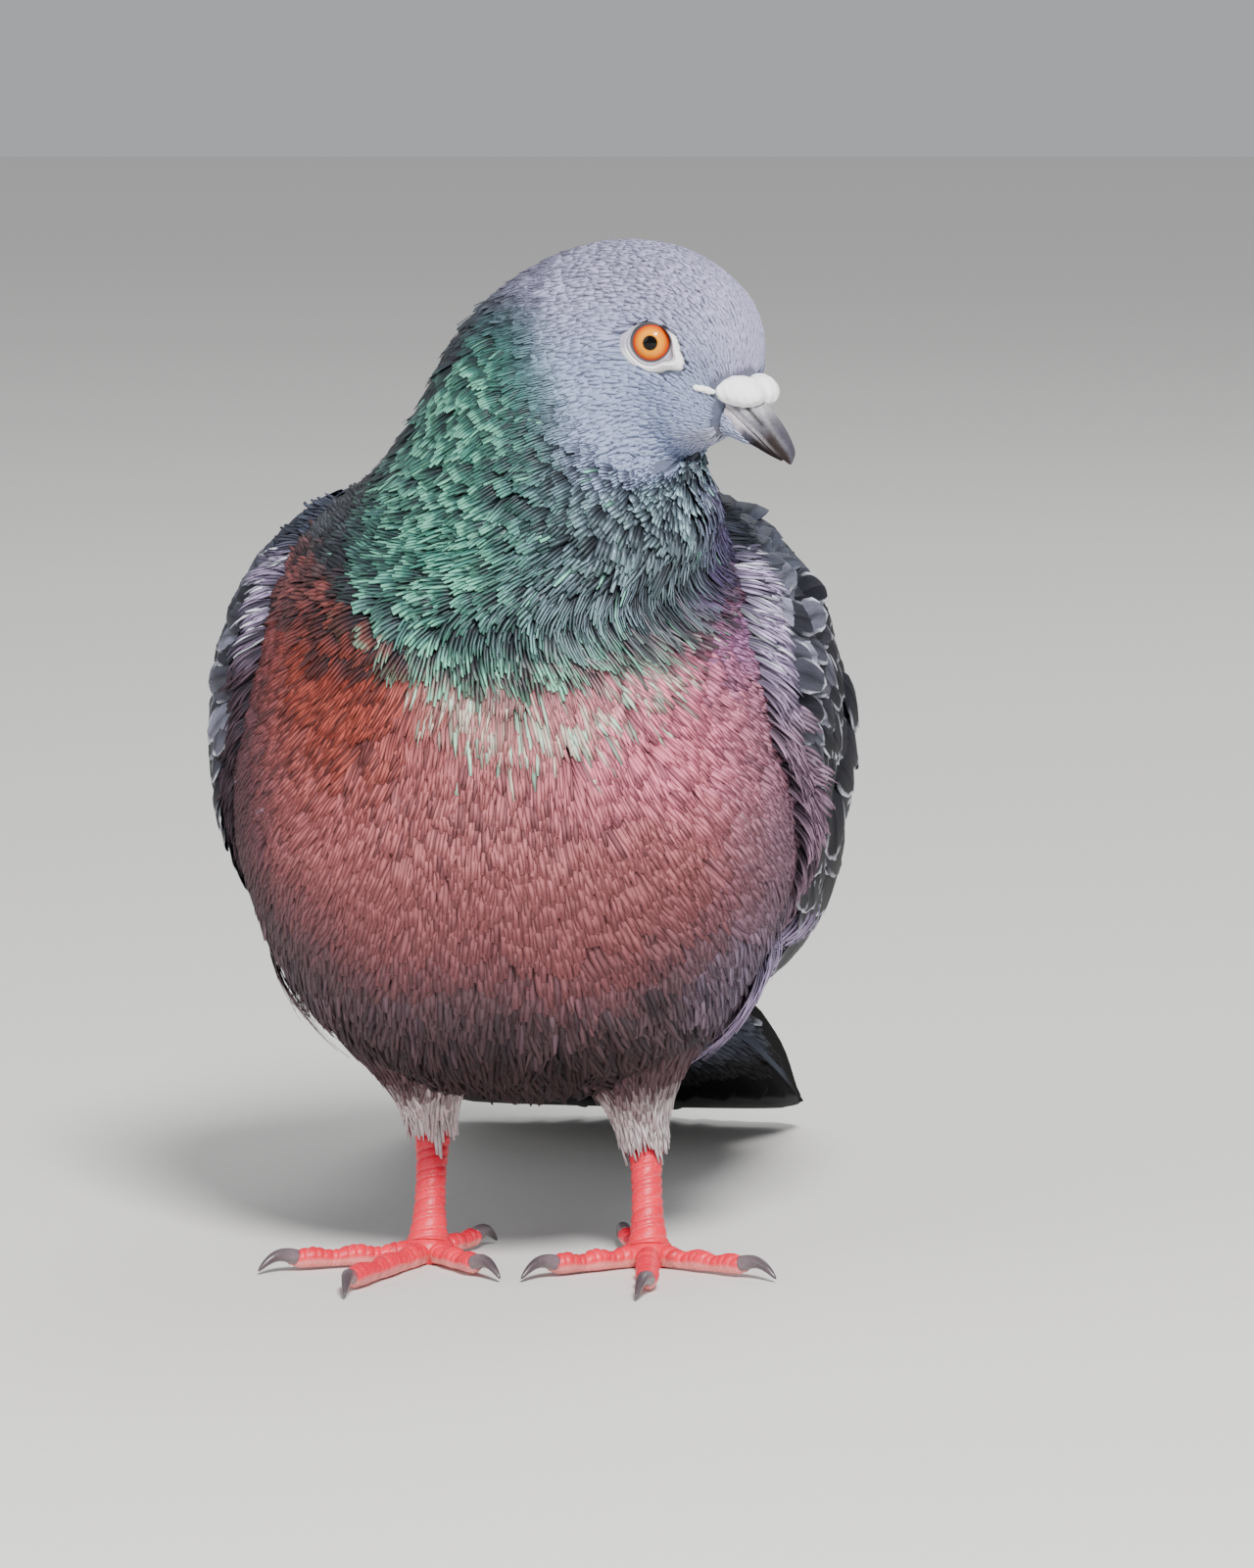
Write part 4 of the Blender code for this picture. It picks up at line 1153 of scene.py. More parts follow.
class PIGEON_OT_skin(bpy.types.Operator):
    """Lay one skin under the whole coat, from the bill's root to the tail and down the thighs"""

    bl_idname = "pigeon.skin"
    bl_label = "Skin"

    def execute(self, context):
        at = np.concatenate([np.linspace(0, 7, 91)[:-1], np.linspace(7, LAST, 160)])
        turn = np.arange(144) / 144
        depth = by_station(SKIN_DEPTH, at)[:, None]
        rings = body_points(at[:, None], turn[None, :], depth)
        for side in (1, -1):  # the socket: round each eye the skin dips under the ball
            centre, axis, ahead, up = eye_frame(side)
            away = rings - centre
            level, off = away @ axis, np.hypot(away @ ahead, away @ up)
            over = level - np.sqrt(np.clip(EYE_RADIUS**2 - off**2, 0, None)) + 0.4
            over = np.maximum(over, 0) * ease(5.0, 4.2, off) * (level > 0)
            rings = rings - over[..., None] * axis
        points, faces = closed_loft(rings)
        tone = with_poles(markings(at[:, None] + 0 * turn, turn + 0 * at[:, None], rings))
        plan = np.stack(np.broadcast_arrays(turn[None, :], (at / LAST)[:, None]), -1)
        plan = np.concatenate([plan.reshape(-1, 2), [[0.5, 0.0]], [[0.5, 1.0]]])
        # The skin is the markings mostly darkened to down: painted shade beneath the coat.
        parts = [(points, faces, blend(colour("down"), tone, 0.35), plan)]
        for side in ("left", "right"):
            rings = thigh_points(side, 0.9)[:-3]
            points, faces = closed_loft(rings)
            # Half the tibia colour: painted shade under the thigh's feathers.
            shade = np.broadcast_to(colour("tibia") * 0.5, points.shape)
            parts.append((points, faces, shade, np.full((len(points), 2), 0.5)))
        points, faces, tone, plan = join(parts)
        # Bare bird skin under down: dull, soft and faintly goose-pimpled, with pores 1 mm apart.
        look = skin_look("downy_skin", 0.8, 1000.0, 0.3)
        add_piece("skin", "wine_breast", look, (points, faces, tone, None, plan), "head",
                  "neck_upper", "neck_lower", "breast", "belly", "rump", "tail", "thigh_left",
                  "thigh_right")
        return {"FINISHED"}


THIGH_TOP = (-4.0, 50.0, 18.5)
THIGH_RADII = (20.0, 15.6, 9.4, 5.3, 4.1)


def tube(path, radii, columns):
    """Rings square to a path: centre + radius * (cos a * aside + sin a * up)."""
    along = unit(np.gradient(path, axis=0))
    upright = np.abs(along[:, 2]).mean() > 0.7
    guide = np.array([0.0, 1.0, 0.0]) if upright else UP
    aside = unit(np.cross(along, guide))
    upwards = np.cross(aside, along)
    angle = whole_turn(columns)[None, :, None]
    ways = np.cos(angle) * aside[:, None] + np.sin(angle) * upwards[:, None]
    return path[:, None] + ways * radii[:, None, None]


def thigh_points(side, inset=0.0):
    """The feathered thigh: a tube from the body's side to the top of the bare shank."""
    sign = 1 if side == "left" else -1
    low = np.array(FEET[side]["shank_top"])
    high = on_body(THIGH_TOP[0], THIGH_TOP[1], -sign * THIGH_TOP[2])
    share = np.linspace(0, 1, 33)
    path = high + share[:, None] * (low - high)
    radii = smooth(THIGH_RADII, share * (len(THIGH_RADII) - 1))[:, 0] - inset
    return tube(path, radii, 48)


class PIGEON_OT_coat(bpy.types.Operator):
    """Cover head, neck, breast, belly, back and thighs with feathers"""

    bl_idname = "pigeon.coat"
    bl_label = "Body coat"

    def execute(self, context):
        form = body_form()
        views = {sign: side_view(sign) for sign in (1, -1)}
        face, hackle = size("face_plume"), size("hackle")
        breast, belly = size("breast_plume"), size("belly_plume")
        # Short close head feathers: soft, matt, the barbs too loose to shine.
        head = feather_look("head_down_barbs", 0.7, barb=3.6, grain=0.08)
        coat("coat_head", form, head, "blue_grey_down", 0.08, 7.7,
             ((0, 0.62), (7, 1.2)), ((0, 0.58), (7, 0.95)),
             ((0, face), (4, 4.2), (8, 6.0)), ((0, 1.15), (7, 2.1)), 11,
             blades=2, rings=4, round_tip=0.1, thick=0.08, crown=0.08, ruffle=0.03,
             slit_from=0.55, top=((0, -0.08), (8, 0.0)), stray=0.13,
             shades=(0.86, 0.4, 0.045, 0.04))
        # Hackles: flattened barbs with a metallic gleam that comes from thin keratin layers.
        neck = feather_look("iridescent_hackle_barbs", 0.42, metallic=0.3, gloss=0.25, barb=3.4,
                            grain=0.22)
        coat("coat_neck_upper", form, neck, "green_hackle", 6.9, 10.9,
             ((7, 1.7), (9, 2.5), (11, 3.0)), ((7, 1.5), (9, 2.4), (11, 2.9)),
             ((7, 0.55 * hackle), (9, 0.85 * hackle), (11, hackle)),
             ((7, 2.3), (9, 4.0), (11, 5.0)), 23,
             round_tip=0.06, ragged=0.05, thick=0.06, crown=0.22, fill=1.35,
             slit=0.4, slit_from=0.78, top=((7, -0.1), (9, 0.8), (11, 0.8)), tint=gleam,
             roll=0.3, stray=0.16,
             shades=(((7, 0.55), (8.5, 0.08)), 0.78, 0.16, 0.1))
        coat("coat_neck_lower", form, neck, "green_hackle", 10.7, 13.4,
             ((10, 2.9), (14, 3.1)), ((10, 2.8), (14, 2.7)),
             ((10, 0.95 * hackle), (14, 1.0 * hackle)), ((10, 4.8), (14, 5.0)), 37, views,
             blades=7, round_tip=0.12, ragged=0.13, thick=0.06, crown=0.2, fill=1.25,
             slit=((10, 0.5), (12, 0.85)), slit_from=0.62, top=((10, 0.8), (14, 0.1)), tint=gleam,
             roll=0.2, ruffle=0.12, stray=0.13,
             shades=(0.08, 0.76, 0.16, 0.14))
        # Breast: broad soft feathers whose tips part into fine dark strokes.
        soft = feather_look("soft_breast_barbs", 0.8, gloss=0.12, barb=4.0, grain=0.12)
        coat("coat_breast_upper", form, soft, "wine_breast", 13.0, 15.2,
             ((13, 3.3), (15, 4.2)), ((13, 3.2), (15, 4.0)),
             ((13, 0.95 * breast), (15, 1.05 * breast)), ((13, 6.4), (15, 8.0)), 41, views,
             blades=12, rings=6, round_tip=0.2, ragged=0.1, thick=0.02, crown=0.03, fill=1.6,
             slit=((13, 0.95), (14, 0.8), (15, 0.3)), slit_from=((13, 0.62), (15, 0.8)),
             top=-0.1, ruffle=0.05, roll=0.03, stray=0.11, tint=flecked,
             shades=(((13, 0.15), (15, 0.7)), 0.62, 0.05, 0.07))
        coat("coat_breast_lower", form, soft, "wine_breast", 15.0, 17.2,
             ((15, 4.2), (17, 4.8)), ((15, 4.0), (17, 4.3)),
             ((15, 1.05 * breast), (17, 1.2 * breast)), ((15, 8.2), (17, 9.0)), 43, views,
             blades=12, rings=6, round_tip=0.2, ragged=0.12, thick=0.015, crown=0.02, fill=1.7,
             slit=0.25, slit_from=0.88, top=-0.2, ruffle=((15, 0.02), (17, 0.08)), roll=0.02,
             stray=0.13, tint=brushed,
             shades=(0.9, 0.6, 0.03, 0.05))
        coat("coat_belly", form, soft, "dusky_belly", 17.0, 21.2,
             ((17, 5.0), (21, 5.4)), ((17, 4.4), (21, 4.8)),
             ((17, 1.2 * breast), (19, 1.15 * belly), (21, 1.15 * belly)),
             ((17, 9.0), (21, 9.0)), 53, views,
             blades=10, rings=6, round_tip=0.4, ragged=0.18, thick=0.05, crown=0.08, fill=1.4,
             slit=((17, 0.4), (18.5, 0.85)), slit_from=0.55, top=((17, -0.2), (19, 0.2)),
             ruffle=((17, 0.08), (19, 0.5)), sway=0.16, stray=((17, 0.1), (20, 0.26)),
             tint=wisps,
             shades=(0.6, 0.5, 0.16, 0.14))
        coat("coat_rump", form, soft, "slate_rump", 20.8, 24.5,
             ((20, 5.0), (25, 5.5)), ((20, 4.2), (25, 4.6)),
             ((20, 17.0), (25, 20.0)), ((20, 9.0), (25, 9.5)), 61,
             blades=8, rings=6, ragged=0.06, crown=0.08, slit_from=0.75, ruffle=0.1,
             shades=(0.6, 0.55, 0.06, 0.06))
        for side, seed in (("left", 71), ("right", 83)):
            self.thigh(side, seed, soft)
        for sign, name, seed in ((1, "left", 91), (-1, "right", 97)):
            self.flank(views[sign], sign, name, seed, soft)
        return {"FINISHED"}

    def thigh(self, side, seed, look):
        points = thigh_points(side)
        form = Form(points, True, points - points.mean(1, keepdims=True))
        bare = 8.5 if side == "right" else 5.5
        row, column = lay_roots(form, 5.0, form.rows - bare, 2.3, 1.7, seed)
        random = default_rng(seed)
        share = row / form.rows
        long = varied(mix(13.0, 4.2, share), 0.12, random, len(row))
        wide = mix(5.0, 2.2, share)
        shapes = plumes(form, row, column, long, wide, seed, blades=4, ragged=0.12,
                        lift=(-0.9, mix(0.7, -0.3, share)), thick=0.16, ruffle=0.15,
                        slit=0.75, slit_from=0.5, turn=random.normal(0, 0.1, len(row)))
        tone = painted("belly", ("tibia", ease(0.28, 0.55, share)))
        parts = plumage(form, row, column, shapes, long, wide, tone, seed, base=0.6, vary=0.08)
        add_piece(f"coat_thigh_{side}", "pale_thigh", look, parts, flat=(1, 2))

    def flank(self, view, sign, name, seed, look):
        """Wispy feathers rooted just ahead of the folded wing, lying back over its edge."""
        form = view.form
        row, column = lay_roots(form, 8.0, 62.0, 2.6, 2.3, seed)
        root = form.read(row, column)[0]
        cover, z = view.covered(root), root[:, 2]
        keep = (cover > 0.04) & (cover < (0.5 if sign > 0 else 0.35)) & (z > 58) & (z < 139)
        keep &= (z < 105) | (root @ view.forward > -8)
        row, column, cover, root, z = (v[keep] for v in (row, column, cover, root, z))
        random = default_rng(seed)
        # Long wisps hang free beside the thigh, a little longer on the left.
        count = 30
        ahead, height = random.uniform(-34.0, 2.0, count), random.uniform(48.0, 64.0, count)
        row = np.append(row, (view.ahead[0] - ahead) / SIDE_STEP)
        column = np.append(column, (height - view.height[0]) / SIDE_STEP)
        hanging = np.append(np.zeros(len(z)), np.ones(count))
        z = np.append(z, height)
        long = mix(10.0 - 3.0 * ease(110, 130, z), 16.0 if sign > 0 else 15.0, hanging)
        long = varied(long, 0.15, random, len(row))
        wide = 3.6 + 1.2 * hanging
        fall = np.radians(42)
        way = -view.forward * np.cos(fall) - UP * np.sin(fall)
        way = way + hanging[:, None] * -1.6 * UP
        lie = turn_towards(form, row, column, way) + random.normal(0, 0.16, len(row))
        shapes = plumes(form, row, column, long, wide, seed, blades=5, rings=6, ragged=0.12,
                        lift=(-1.6, 0.4 + hanging + (2.4 * bump_at(z, 90, 18) if sign > 0
                                                     else 0)),
                        thick=0.08, crown=0.1, slit=0.85, slit_from=0.4, ruffle=0.3,
                        turn=lie)
        if sign > 0:
            tone = painted("flank", ("flank_pale", ease(100, 116, z)), ("flank_pale", hanging))
        else:
            # The bird's right lies away from the light: plum and the pale wisps at 0.7 are painted
            # shade.
            tone = blend(colour("plum"), colour("flank_pale") * 0.7, ease(112, 124, z))
            tone = painted(tone, ("belly", hanging))
        tone = painted(tone, ("mantle", ease(128, 134, z)))
        paler = 0.3 * ease(112, 124, z) * ease(136, 130, z)
        streaks = ("fringe", paler, 0.8), ("covert", 0.1 + paler, 0.6)
        parts = plumage(form, row, column, shapes, long, wide, tone, seed, base=0.4,
                        dark_until=0.45, vary=0.2, blade_vary=0.16, streaks=streaks)
        add_piece(f"coat_flank_{name}", "wine_breast", look, parts, flat=(1, 2))


# ---- wings

WING_TOP = [(-2, 33, 139), (-24, 27, 138), (-50, 20, 114), (-82, 14, 80), (-116, 12, 51),
            (-147, 11, 28)]
WING_CREST = [(14, 43, 120), (-13, 50, 115), (-43, 49, 89), (-76, 42, 62), (-111, 28, 42),
              (-150, 15, 25)]
WING_FOOT = [(15, 42, 100), (0, 46, 79), (-27, 46, 60), (-62, 38, 45), (-102, 28, 34),
             (-151, 18, 22)]
WING_THICKNESS = [4.0, 7.2, 6.2, 4.4, 2.8, 1.6]


def wing_grid(sign, rows, columns):
    """The wing's middle sheet and its half thickness.

    Across it is the parabola through top edge, crest and foot; points that would sink into the
    trunk are pushed outwards until they lie on it.
    """
    share = np.linspace(0, 1, rows) * (len(WING_TOP) - 1)
    top, crest, foot = (smooth(line, share)[:, None] for line in (WING_TOP, WING_CREST, WING_FOOT))
    across = np.linspace(0, 1, columns)[None, :, None]
    knee = 2 * crest - (top + foot) / 2
    flat = (1 - across) ** 2 * top + 2 * across * (1 - across) * knee + across**2 * foot
    full = smooth(WING_THICKNESS, share) * (0.45 + 0.55 * np.sin(np.pi * across[..., 0]))
    forward, right = direction(BODY_YAW)
    outwards = right * -sign
    grid = flat[..., :1] * forward + flat[..., 1:2] * outwards + flat[..., 2:] * UP
    at = np.linspace(9.0, LAST, 120)[:, None]
    trunk = body_points(at, np.linspace(0, 1, 120, endpoint=False)[None, :]).reshape(-1, 3)
    level = trunk @ outwards
    trunk, level = trunk[level > 5.0], level[level > 5.0]
    flat_trunk = np.stack([trunk @ forward, trunk[:, 2]], -1)
    here = np.stack([grid @ forward, grid[..., 2]], -1)
    away = norm(here[:, :, None] - flat_trunk, axis=-1)
    near = np.where(away < 4.0, level - 0.06 * away**2, -99.0).max(-1)
    push = np.maximum(0.0, near + 0.3 + full / 2 - grid @ outwards)
    return grid + push[..., None] * outwards, full / 2, outwards


@functools.lru_cache(maxsize=None)
def wing_surface(sign, rows=111, columns=57):
    """The wing's middle sheet, its normals and its half thickness on a finer grid."""
    grid, half, outwards = wing_grid(sign, 56, 29)
    coarse = Form(grid, False, outwards)
    row = np.linspace(0, coarse.rows - 1, rows)[:, None] + np.zeros(columns)
    column = np.linspace(0, coarse.columns - 1, columns)[None, :] + np.zeros((rows, 1))
    middle, normal, *_ = coarse.read(row, column)
    thick = coarse.take(half[..., None], row, column)[0]
    return middle, normal, thick, outwards


@functools.lru_cache(maxsize=None)
def side_view(sign):
    return SideView(sign)


class PIGEON_OT_wings(bpy.types.Operator):
    """Build both folded wings: the arm under them, coverts, secondaries and primaries"""

    bl_idname = "pigeon.wings"
    bl_label = "Wings"

    # Coverts: first and last row in shares, spacing along and across, length, width in mm.
    tracts = (
        (0.00, 0.17, 4.4, 3.8, 12.0, 6.2),  # lesser
        (0.15, 0.33, 6.4, 4.8, 16.5, 8.0),  # median
        (0.31, 0.44, 9.0, 6.0, 28.0, 10.0),  # greater
    )
    # Flight feathers: first and last row, first and last column, count, length, width.
    quills = (
        (0.39, 0.46, 0.06, 0.95, 16, 64.0, 14.0),  # secondaries
        (0.55, 0.66, 0.25, 0.98, 9, 78.0, 10.0),  # primaries
    )

    def execute(self, context):
        # Wing keratin: firm closed vanes with a low satin gloss.
        vane = feather_look("satin_wing_vanes", 0.55, gloss=0.1, barb=2.2, depth=0.3, grain=0.2)
        down = skin_look("downy_wing", 0.8, 900.0, 0.3)
        for side, sign in (("left", 1), ("right", -1)):
            middle, normal, thick, outwards = wing_surface(sign)
            self.arm(side, sign, down, middle, normal, thick)
            form = Form(middle + normal * (thick - WING_SINK), False, outwards)
            seed = 100 if sign > 0 else 200
            coverts = [self.tract(form, seed + k, *own) for k, own in enumerate(self.tracts)]
            flights = [self.quill(form, seed + 40 + k, *own) for k, own in enumerate(self.quills)]
            for label, parts, slot in (("coverts", coverts, "grey_coverts"),
                                       ("flights", flights, "dark_primaries")):
                parts = join(parts)
                add_piece(f"{label}_{side}", slot, vane, parts, flat=range(1, len(parts[1]), 2))
        return {"FINISHED"}

    def arm(self, side, sign, look, middle, normal, thick):
        """The feathered arm and hand under the coverts, a closed slab inside the wing."""
        outer = middle + normal * (thick - WING_SINK - 0.9)
        inner = middle - normal * np.maximum(thick - 0.3, 0.2)
        rings = np.concatenate([outer, inner[:, ::-1]], axis=1)[3:-4]
        points, faces = closed_loft(rings, flip=sign < 0)
        # Between down and covert: painted shade under the coverts.
        tone = np.broadcast_to(painted("down", ("covert", 0.5)), points.shape)
        add_piece(f"wing_arm_{side}", "grey_coverts", look, (points, faces, tone),
                  f"wing_{side}", f"primaries_{side}")

    def tract(self, form, seed, first, last, along, across, long, wide):
        """One kind of covert: rows of pale-edged vanes across the wing, a few of them lifted."""
        row, column = lay_roots(form, first * form.rows, last * form.rows, along, across, seed,
                                jitter=0.12)
        random = default_rng(seed)
        length = varied(long, 0.08, random, len(row))
        width = varied(wide, 0.06, random, len(row))
        lift = random.normal(0.15, 0.25, len(row)) + 1.7 * (random.uniform(0, 1, len(row)) < 0.05)
        shapes = vanes(form, row, column, length, width, seed, lift=(-0.9, lift), roll=0.14,
                       turn=random.normal(0, 0.16, len(row)), blunt=1.8, ragged=0.03, notch=0.03)
        down_wing, round_wing = row / form.rows, column / form.columns
        top = ease(0.45, 0.25, round_wing) * ease(0.5, 0.2, down_wing)
        pale = ease(0.14, 0.03, down_wing) * random.uniform(0, 1, len(row)) ** 2
        tone = painted("covert", ("covert_pale", pale), ("mantle", top))
        return plumage(form, row, column, shapes, length, width, tone, seed, base=0.8, vary=0.1,
                       edge="fringe", edge_share=0.65 * (1 - 0.9 * top), shaft=0.6)

    def quill(self, form, seed, first, last, low, high, count, long, wide):
        """Flight feathers rooted along a line, each lying a step over the one before it."""
        order = np.linspace(0, 1, count)
        row = (first + (last - first) * order) * form.rows
        column = (low + (high - low) * order[::-1]) * form.columns
        most = form.take(form.run[..., None], 0 * row + form.rows, column)[0][..., 0]
        most = most - form.read(row, column)[4][..., 1]
        length = np.minimum(long, most + 1.0)
        width = np.full(count, wide)
        step = 0.05 * order * count
        shapes = vanes(form, row, column, length, width, seed, rings=13, narrow=0.3, blunt=3.2,
                       lift=(-1.0 - step, step - 0.2), roll=0.03, crown=0.06)
        tone = np.broadcast_to(colour("flight"), (count, 3))
        return plumage(form, row, column, shapes, length, width, tone, seed, base=0.8, vary=0.05,
                       edge="fringe", edge_share=0.35)


class PIGEON_OT_tail(bpy.types.Operator):
    """Build the tail's twelve feathers and the mantle over the back"""

    bl_idname = "pigeon.tail"
    bl_label = "Tail and mantle"

    def execute(self, context):
        vane = feather_look("satin_tail_vanes", 0.6, gloss=0.03, barb=2.2, depth=0.3, grain=0.12)
        self.tail(vane)
        self.mantle(vane)
        return {"FINISHED"}

    def tail(self, look):
        """Twelve vanes fanned over the tail's upper face, and the same seen from below."""
        at = np.linspace(22.0, LAST, 61)[:, None]
        half = np.linspace(0.0, 0.5, 41)[None, :]
        spread = (np.arange(12) - 5.5) / 5.5
        row, column = np.full(12, 4.0), (0.5 + 0.42 * spread) * 40
        length, width = 92.5 - 4.0 * np.abs(spread) ** 2, np.full(12, 17.0)
        layer, sheets = 0.5 * (1 - np.abs(spread)), []
        for under, face, way in ((0, half, 1.0), (1, -half, -1.0)):
            form = Form(body_points(at, face), False, np.array([0.0, 0.3 * way, way]))
            shapes = vanes(form, row, column, length - 0.5 * under, width, 301 + under, rings=15,
                           lift=(layer - 0.9, layer - 0.4), narrow=0.25, blunt=4.0, roll=0.01,
                           crown=0.02, turn=-0.02 * spread)
            tone = np.broadcast_to(colour("tail"), (12, 3))
            points, faces, dark, *rest = plumage(form, row, column, shapes, length, width, tone,
                                                 301, base=1.0, vary=0.04)
            grey = colour("undertail" if under else "mantle") * 0.8
            # the underside turns dark nearer its root than the top does: painted shade under the
            # tail
            shades = blend(grey, dark, ease(0.66, 0.76, shapes[2]["t"] + 0.3 * under))
            sheets.append((points, faces, shades, *rest))
        add_piece("tail_feathers", "dark_tail", look, join(sheets), flat=(1, 3))

    def mantle(self, look):
        """Close vanes over the back, between the wings."""
        form = body_form()
        row, column = lay_roots(form, 12.4 * STEPS, 20.5 * STEPS, 5.0, 4.6, 311, jitter=0.12)
        keep = np.abs(column / TURNS - 0.25) < 0.155
        row, column = row[keep], column[keep]
        random = default_rng(311)
        length = varied(15.0, 0.06, random, len(row))
        width = varied(9.0, 0.05, random, len(row))
        shapes = vanes(form, row, column, length, width, 311, lift=(-1.6, 0.2))
        seen = walk(form, row, column, 0 * length, VANE_SEEN_SHARE * length)
        tone = markings(seen[0] / STEPS, seen[1] / TURNS, form.read(*seen)[0])
        parts = plumage(form, row, column, shapes, length, width, tone, 311, base=0.7, vary=0.05,
                        edge="covert", edge_share=0.25)
        add_piece("mantle", "slate_rump", look, parts, flat=(1,))


# ---- eyes, bill, feet


def round_axis(angle, ahead, up):
    """Unit ways square to an axis: cos(angle) * ahead + sin(angle) * up."""
    return np.cos(angle)[..., None] * ahead + np.sin(angle)[..., None] * up


class PIGEON_OT_eyes(bpy.types.Operator):
    """Build both eyeballs and the bare ring of skin round each"""

    bl_idname = "pigeon.eyes"
    bl_label = "Eyes"

    def execute(self, context):
        # A wet cornea over the iris: smooth as glass, with a clear coat for the highlight.
        ball = skin_look("wet_eye", 0.3, 6000.0, 0.0, grain=0.05, **{"Coat Weight": 0.35,
                         "Coat Roughness": 0.03, "Specular IOR Level": 0.03})
        # Bare lid skin: powdery and finely wrinkled, wrinkles about 0.3 mm apart.
        lid = skin_look("powdery_lid", 0.65, 3500.0, 0.5, distance=0.0002)
        form = body_form()
        for name, side in (("right", 1), ("left", -1)):
            self.ball(name, side, ball)
            self.ring(name, side, lid, form)
        return {"FINISHED"}

    def ball(self, name, side, look):
        """A globe about the eye's axis; rings by the angle from it, fine over the iris."""
        centre, axis, ahead, up = eye_frame(side)
        pupil, iris = size("pupil_radius"), size("iris_radius")
        rim = np.arcsin(iris / EYE_RADIUS)
        polar = np.concatenate([np.linspace(0.02, rim, 40), np.linspace(rim, 3.09, 24)[1:]])
        polar = polar[:, None]
        angle = whole_turn(96)[None, :]
        bulge = EYE_RADIUS * (1 + 0.035 * ease(rim * 1.15, 0.0, polar))[..., None]
        ways = np.cos(polar)[..., None] * axis + np.sin(polar)[..., None] * (
            round_axis(angle, ahead, up))
        points, faces = closed_loft(centre + bulge * ways, flip=side > 0)
        off = EYE_RADIUS * np.sin(polar) + 0 * angle
        fibre = default_rng(5).normal(0, 1, (8, 96))[np.linspace(0, 7, 63).astype(int)]
        share = np.clip((off - pupil) / (iris - pupil), 0, 1)
        tone = painted("iris", ("iris_rim", ease(0.3, 1.0, share + 0.03 * fibre)))
        tone = painted(tone * (1 + 0.05 * fibre[..., None]),
                       ("pupil", ease(pupil + 0.12, pupil - 0.08, off)),
                       ("pupil", ease(iris - 0.16, iris + 0.1, off)))
        add_piece(f"eyeball_{name}", "orange_eye", look, (points, faces, with_poles(tone)),
                  f"eye_{name}")

    def ring(self, name, side, look, form):
        """Lid and bare ring: height over the eye's plane against the share across the ring."""
        centre, axis, ahead, up = eye_frame(side)
        inner = size("iris_radius") + 0.02
        angle = whole_turn(120)[None, :]
        across = np.concatenate([[-0.12], np.linspace(0, 1.15, 30), [1.5, 2.0]])[:, None]
        # The lid's opening is a little lower than wide, and pinched towards the bill.
        opening = inner * (1 - 0.03 * np.sin(angle) ** 2 - 0.03 * np.cos(angle + 0.7) ** 2)
        reach = opening + across * (ring_radius(angle) + 0.1 - opening)
        cloud = form.points[: 8 * STEPS].reshape(-1, 3) - centre
        level, off = cloud @ axis, np.hypot(cloud @ ahead, cloud @ up)
        near = (off > 5.0) & (off < 6.8) & (level > 0)
        swing = np.arctan2(cloud[near] @ up, cloud[near] @ ahead)
        gap = np.abs((angle.T - swing[None] + np.pi) % (2 * np.pi) - np.pi)
        weight = np.exp(-((gap / 0.2) ** 2))
        face = (weight * level[near]).sum(1) / weight.sum(1)
        places = (-0.12, 0.0, 0.1, 0.22, 0.4, 0.7, 1.0, 1.2, 1.6, 2.0)
        heights = (-0.5, 0.0, 0.12, 0.18, 0.2, 0.3, 0.2, -0.1, -0.9, -1.6)
        rise = np.interp(across, places, heights)
        share = ease(0.15, 0.95, across)
        level = (np.sqrt(EYE_RADIUS**2 - inner**2) + 0 * angle) * (1 - share) + face * share + rise
        fold = np.sin(across * 2 * np.pi * 2.6 + 0.8 * np.sin(2 * angle) + 0.4 * np.sin(7 * angle))
        pleat = np.sin(angle * 34 + 3 * across)
        seen = ease(0.15, 0.3, across) * ease(1.2, 0.9, across)
        level = level + seen * (0.1 * fold + 0.02 * pleat)
        over_ball = np.sqrt(np.clip(EYE_RADIUS**2 - reach**2, 0, None)) + 0.16
        level = np.where(across < 1.25, np.maximum(level, over_ball * (across > 0.02)), level)
        points = centre + level[..., None] * axis + reach[..., None] * round_axis(angle, ahead, up)
        rings = np.concatenate([points, points[::-1] - axis * 0.5])
        rows, columns = rings.shape[:2]
        quads = grid_faces(rows, columns, True, flip=side < 0)
        wrap = grid_faces(2, columns, True, flip=side < 0)
        wrap = np.where(wrap >= columns, wrap - columns, wrap + (rows - 1) * columns)
        low = ease(0.3, -0.2, np.sin(angle - 0.35))
        tone = painted("lid", ("cere", ease(0.5, 0.66, across) * low))
        # Painted shade in the fold: a dark line low in the ring and darker troughs.
        tone = blend(tone, colour("down") * 1.5, 0.7 * low * bump_at(across, 0.55, 0.06))
        tone = blend(tone, tone * 0.7, seen * ease(0.2, -0.9, fold))
        line = ease(0.5, 0.26, reach - opening - 0.3 * ease(-0.2, 1, np.sin(angle - 0.5)))
        tone = blend(tone, colour("pupil") * 4, 0.92 * line)
        tone = np.concatenate([tone, tone[::-1]]).reshape(-1, 3)
        add_piece(f"eye_ring_{name}", "white_cere", look,
                  (rings.reshape(-1, 3), [quads, wrap], tone))


